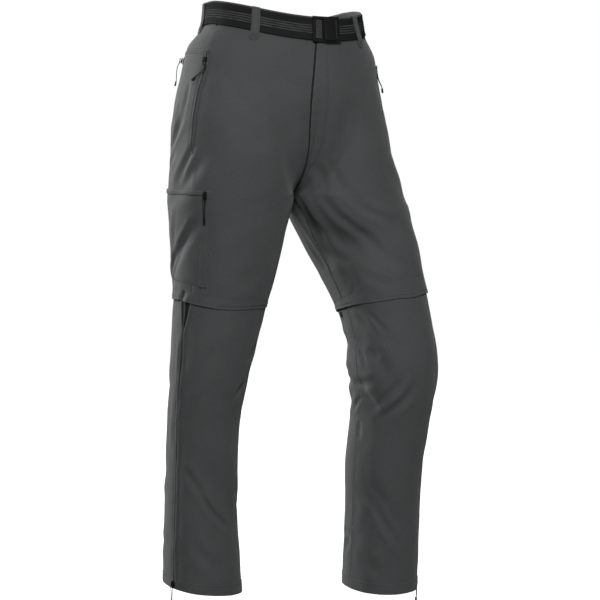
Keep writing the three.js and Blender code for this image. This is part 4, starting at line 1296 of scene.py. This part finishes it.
# Height: lift + room * sin(pi u) * sin(pi v)^0.7, less 0.4 mm at the bottom, less a rolled edge and its
# stitches' groove, each a bell of the distance from the edge
def makePocket(q):
    front, back, bottom = q["front"], q["back"], q["bottom"]
    metre = float(pace("right", np.array(0.5), np.array(-390 * mm)))
    around = places(front, back, metre, 3.4 * mm, q["closer"])
    a, l = np.meshgrid(around, places(q["top"], bottom, 1, 3.4 * mm, q["closer"]))
    u = (a - front) / (back - front)
    v = (l - q["top"]) / (bottom - q["top"])
    fromEdge = np.minimum(np.minimum(u, 1 - u) * (back - front) * metre, (1 - v) * (q["top"] - bottom))
    lift = shortsSkin(l) + q["lift"] + q["room"] * np.sin(np.pi * u) * np.sin(np.pi * np.clip(v, 0, 1)) ** 0.7
    lift -= 0.4 * mm * smoothStep(0.93, 1, v)
    lift -= 0.9 * mm * bell(fromEdge, 1.3 * mm) + 0.3 * mm * bell(fromEdge - 3 * mm, 0.9 * mm)
    mesh = gridMesh("thighPocket", clothPoint("right", a, l, lift), uv=clothUv(a, l))
    piece = addCloth(mesh, q["thickness"], "thigh_pocket")
    sewDown("right", back, -312 * mm, bottom + 3 * mm, q["lift"] - 0.1 * mm, -3 * mm)
    sewRound("right", front + 0.006, back - 0.006, bottom + 3 * mm, q["lift"] + 1.5 * mm)
    edgeTop, edgeBottom, low, high = q["edge"]
    around = np.linspace(front - 0.001, back + 0.002, 70)
    bulge = q["room"] * 0.25 * np.sin(np.pi * np.linspace(0, 1, 70))
    across, lift = softBar((edgeTop - edgeBottom) / 2, low, high, 20)
    middle = (edgeTop + edgeBottom) / 2 + 0.4 * mm * np.sin(around * 55)
    swept = sweepRound("right", around, middle, across, lift + bulge)
    addStrip("thighPocketEdge", swept, cloth, "thigh_pocket_edge")
    sewRound("right", front + 0.004, back - 0.004, edgeBottom + 2.2 * mm, high + 0.2 * mm)


def makeThighZip(q):
    top, bottom, placket = q["edge"][0], q["bottom"], q["placketAround"]
    lineAt = lambda level: ("right", q["zipAround"] + 0 * level, level)
    level = np.arange(top - 1 * mm, bottom, -zips["step"])
    addZip("thighZip", sweepDown, lineAt(level), level, 1.5 * mm, 4.6 * mm, shortsSkin(level), "thigh_zip")
    level = np.linspace(top - 9 * mm, bottom - 1 * mm, 80)
    for sign, name in ((-1, "front"), (1, "back")):
        apart = 2.1 * mm + 1.3 * mm * smoothStep(-345 * mm, -312 * mm, level)
        offset = sign * (apart + 0.2 * mm * np.sin(level * 70))
        addLip(f"thighZipLip.{name}", sweepDown, lineAt(level), offset, 2.2 * mm, shortsSkin(level), 1.7 * mm)
    level = np.linspace(top, bottom - 1 * mm, 70)
    skin = shortsSkin(level) - 1.2 * mm * smoothStep(bottom + 9 * mm, bottom - 1 * mm, level)
    opened = smoothStep(-380 * mm, -306 * mm, level)
    across, lift = softBar(1, 0.1 * mm, 1.9 * mm, 22, 0.4)
    half = q["placketHalf"] - 1.4 * mm * opened + 0.25 * mm * np.sin(level * 60)
    swept = sweepDown("right", placket - 0.0016 * opened, level, across * half, lift + skin)
    addStrip("thighZipPlacket", swept, cloth)
    sewDown("right", placket, top - 3 * mm, bottom + 3 * mm, 2.0 * mm, -3.8 * mm)


makePocket(pocket)
makeThighZip(pocket)

# The dark end tab of the left knee's zip, on the inner side
tab = {"around": 0.949, "level": -514 * mm, "half": 4.5 * mm, "height": 9 * mm}
level = np.linspace(tab["level"] + tab["height"] / 2, tab["level"] - tab["height"] / 2, 9)
across, lift = softBar(1, 0.2 * mm, 2.0 * mm, 16)
half = tab["half"] - arcDrop(np.minimum(level - level[-1], 4 * mm), 3 * mm) * 0.8
addStrip("kneeTab", sweepDown("left", tab["around"] + 0 * level, level, across * half, lift), moulded)

finishStitches("cloth", thread)
finishStitches("belt", beltThread)
print("pocket and stitches made")


# Studio
studio = {
    "paper": (0.9, 0.9, 0.9),
    "glow": 0.85,
    "floorSize": 6.0,
    "floorLevel": -1.09,
    "backdrop": 1.0,  # how bright the paper behind looks
    "ambient": 0.085,  # how much light it gives
    "aim": (0, 0, -0.5),  # where the lamps point
}


def makeStudio(s):
    material, tree, shader = startMaterial("studioPaper")
    grain = noiseOn(tree, addNode(tree, "TexCoord").outputs["Object"], 40.0, 3.0)
    tree.links.new(tintRamp(tree, grain, s["paper"], 0.99, 1.01), shader.inputs["Base Color"])
    setShader(shader, Roughness=0.9, Emission_Color=(1, 1, 1, 1), Emission_Strength=s["glow"])
    half = s["floorSize"] / 2
    x, y = np.meshgrid(np.linspace(-half, half, 9), np.linspace(-half, half, 9))
    floor = bpy.data.objects.new("floor", gridMesh("floor", np.stack([x, y, 0 * x + s["floorLevel"]], -1)))
    floor.data.materials.append(material)
    floor.visible_diffuse = False  # the paper throws little light back up
    floor.visible_glossy = False
    scene.collection.objects.link(floor)
    world = bpy.data.worlds.new("studioWorld")
    world.use_nodes = True
    tree = world.node_tree
    seen = addNode(tree, "LightPath").outputs["Is Camera Ray"]
    strength = remapped(tree, seen, low=s["ambient"], high=s["backdrop"])
    tree.nodes["Background"].inputs["Color"].default_value = (1, 1, 1, 1)
    tree.links.new(strength, tree.nodes["Background"].inputs["Strength"])
    scene.world = world


lamps = {
    "key": {"at": (-1.8, -3.1, 1.7), "size": 1.6, "power": 117},
    "fill": {"at": (1.6, -3.2, 0.6), "size": 2.2, "power": 12},
    "back": {"at": (-1.5, 2.9, 0.6), "size": 1.0, "power": 92},
}


def makeLamp(name, lamp):
    data = bpy.data.lights.new(name, "AREA")
    data.shape = "DISK"
    data.size = lamp["size"]
    data.energy = lamp["power"]
    light = bpy.data.objects.new(name, data)
    light.visible_camera = False
    light.location = lamp["at"]
    aim = np.array(studio["aim"]) - np.array(lamp["at"])
    flat = math.hypot(aim[0], aim[1])
    turn = math.atan2(aim[1], aim[0]) - math.pi / 2
    light.rotation_euler = (math.pi / 2 + math.atan2(aim[2], flat), 0, turn)
    scene.collection.objects.link(light)


makeStudio(studio)
for lampName, lamp in lamps.items():
    makeLamp(lampName, lamp)
scene.view_settings.view_transform = "Standard"
print("studio made")
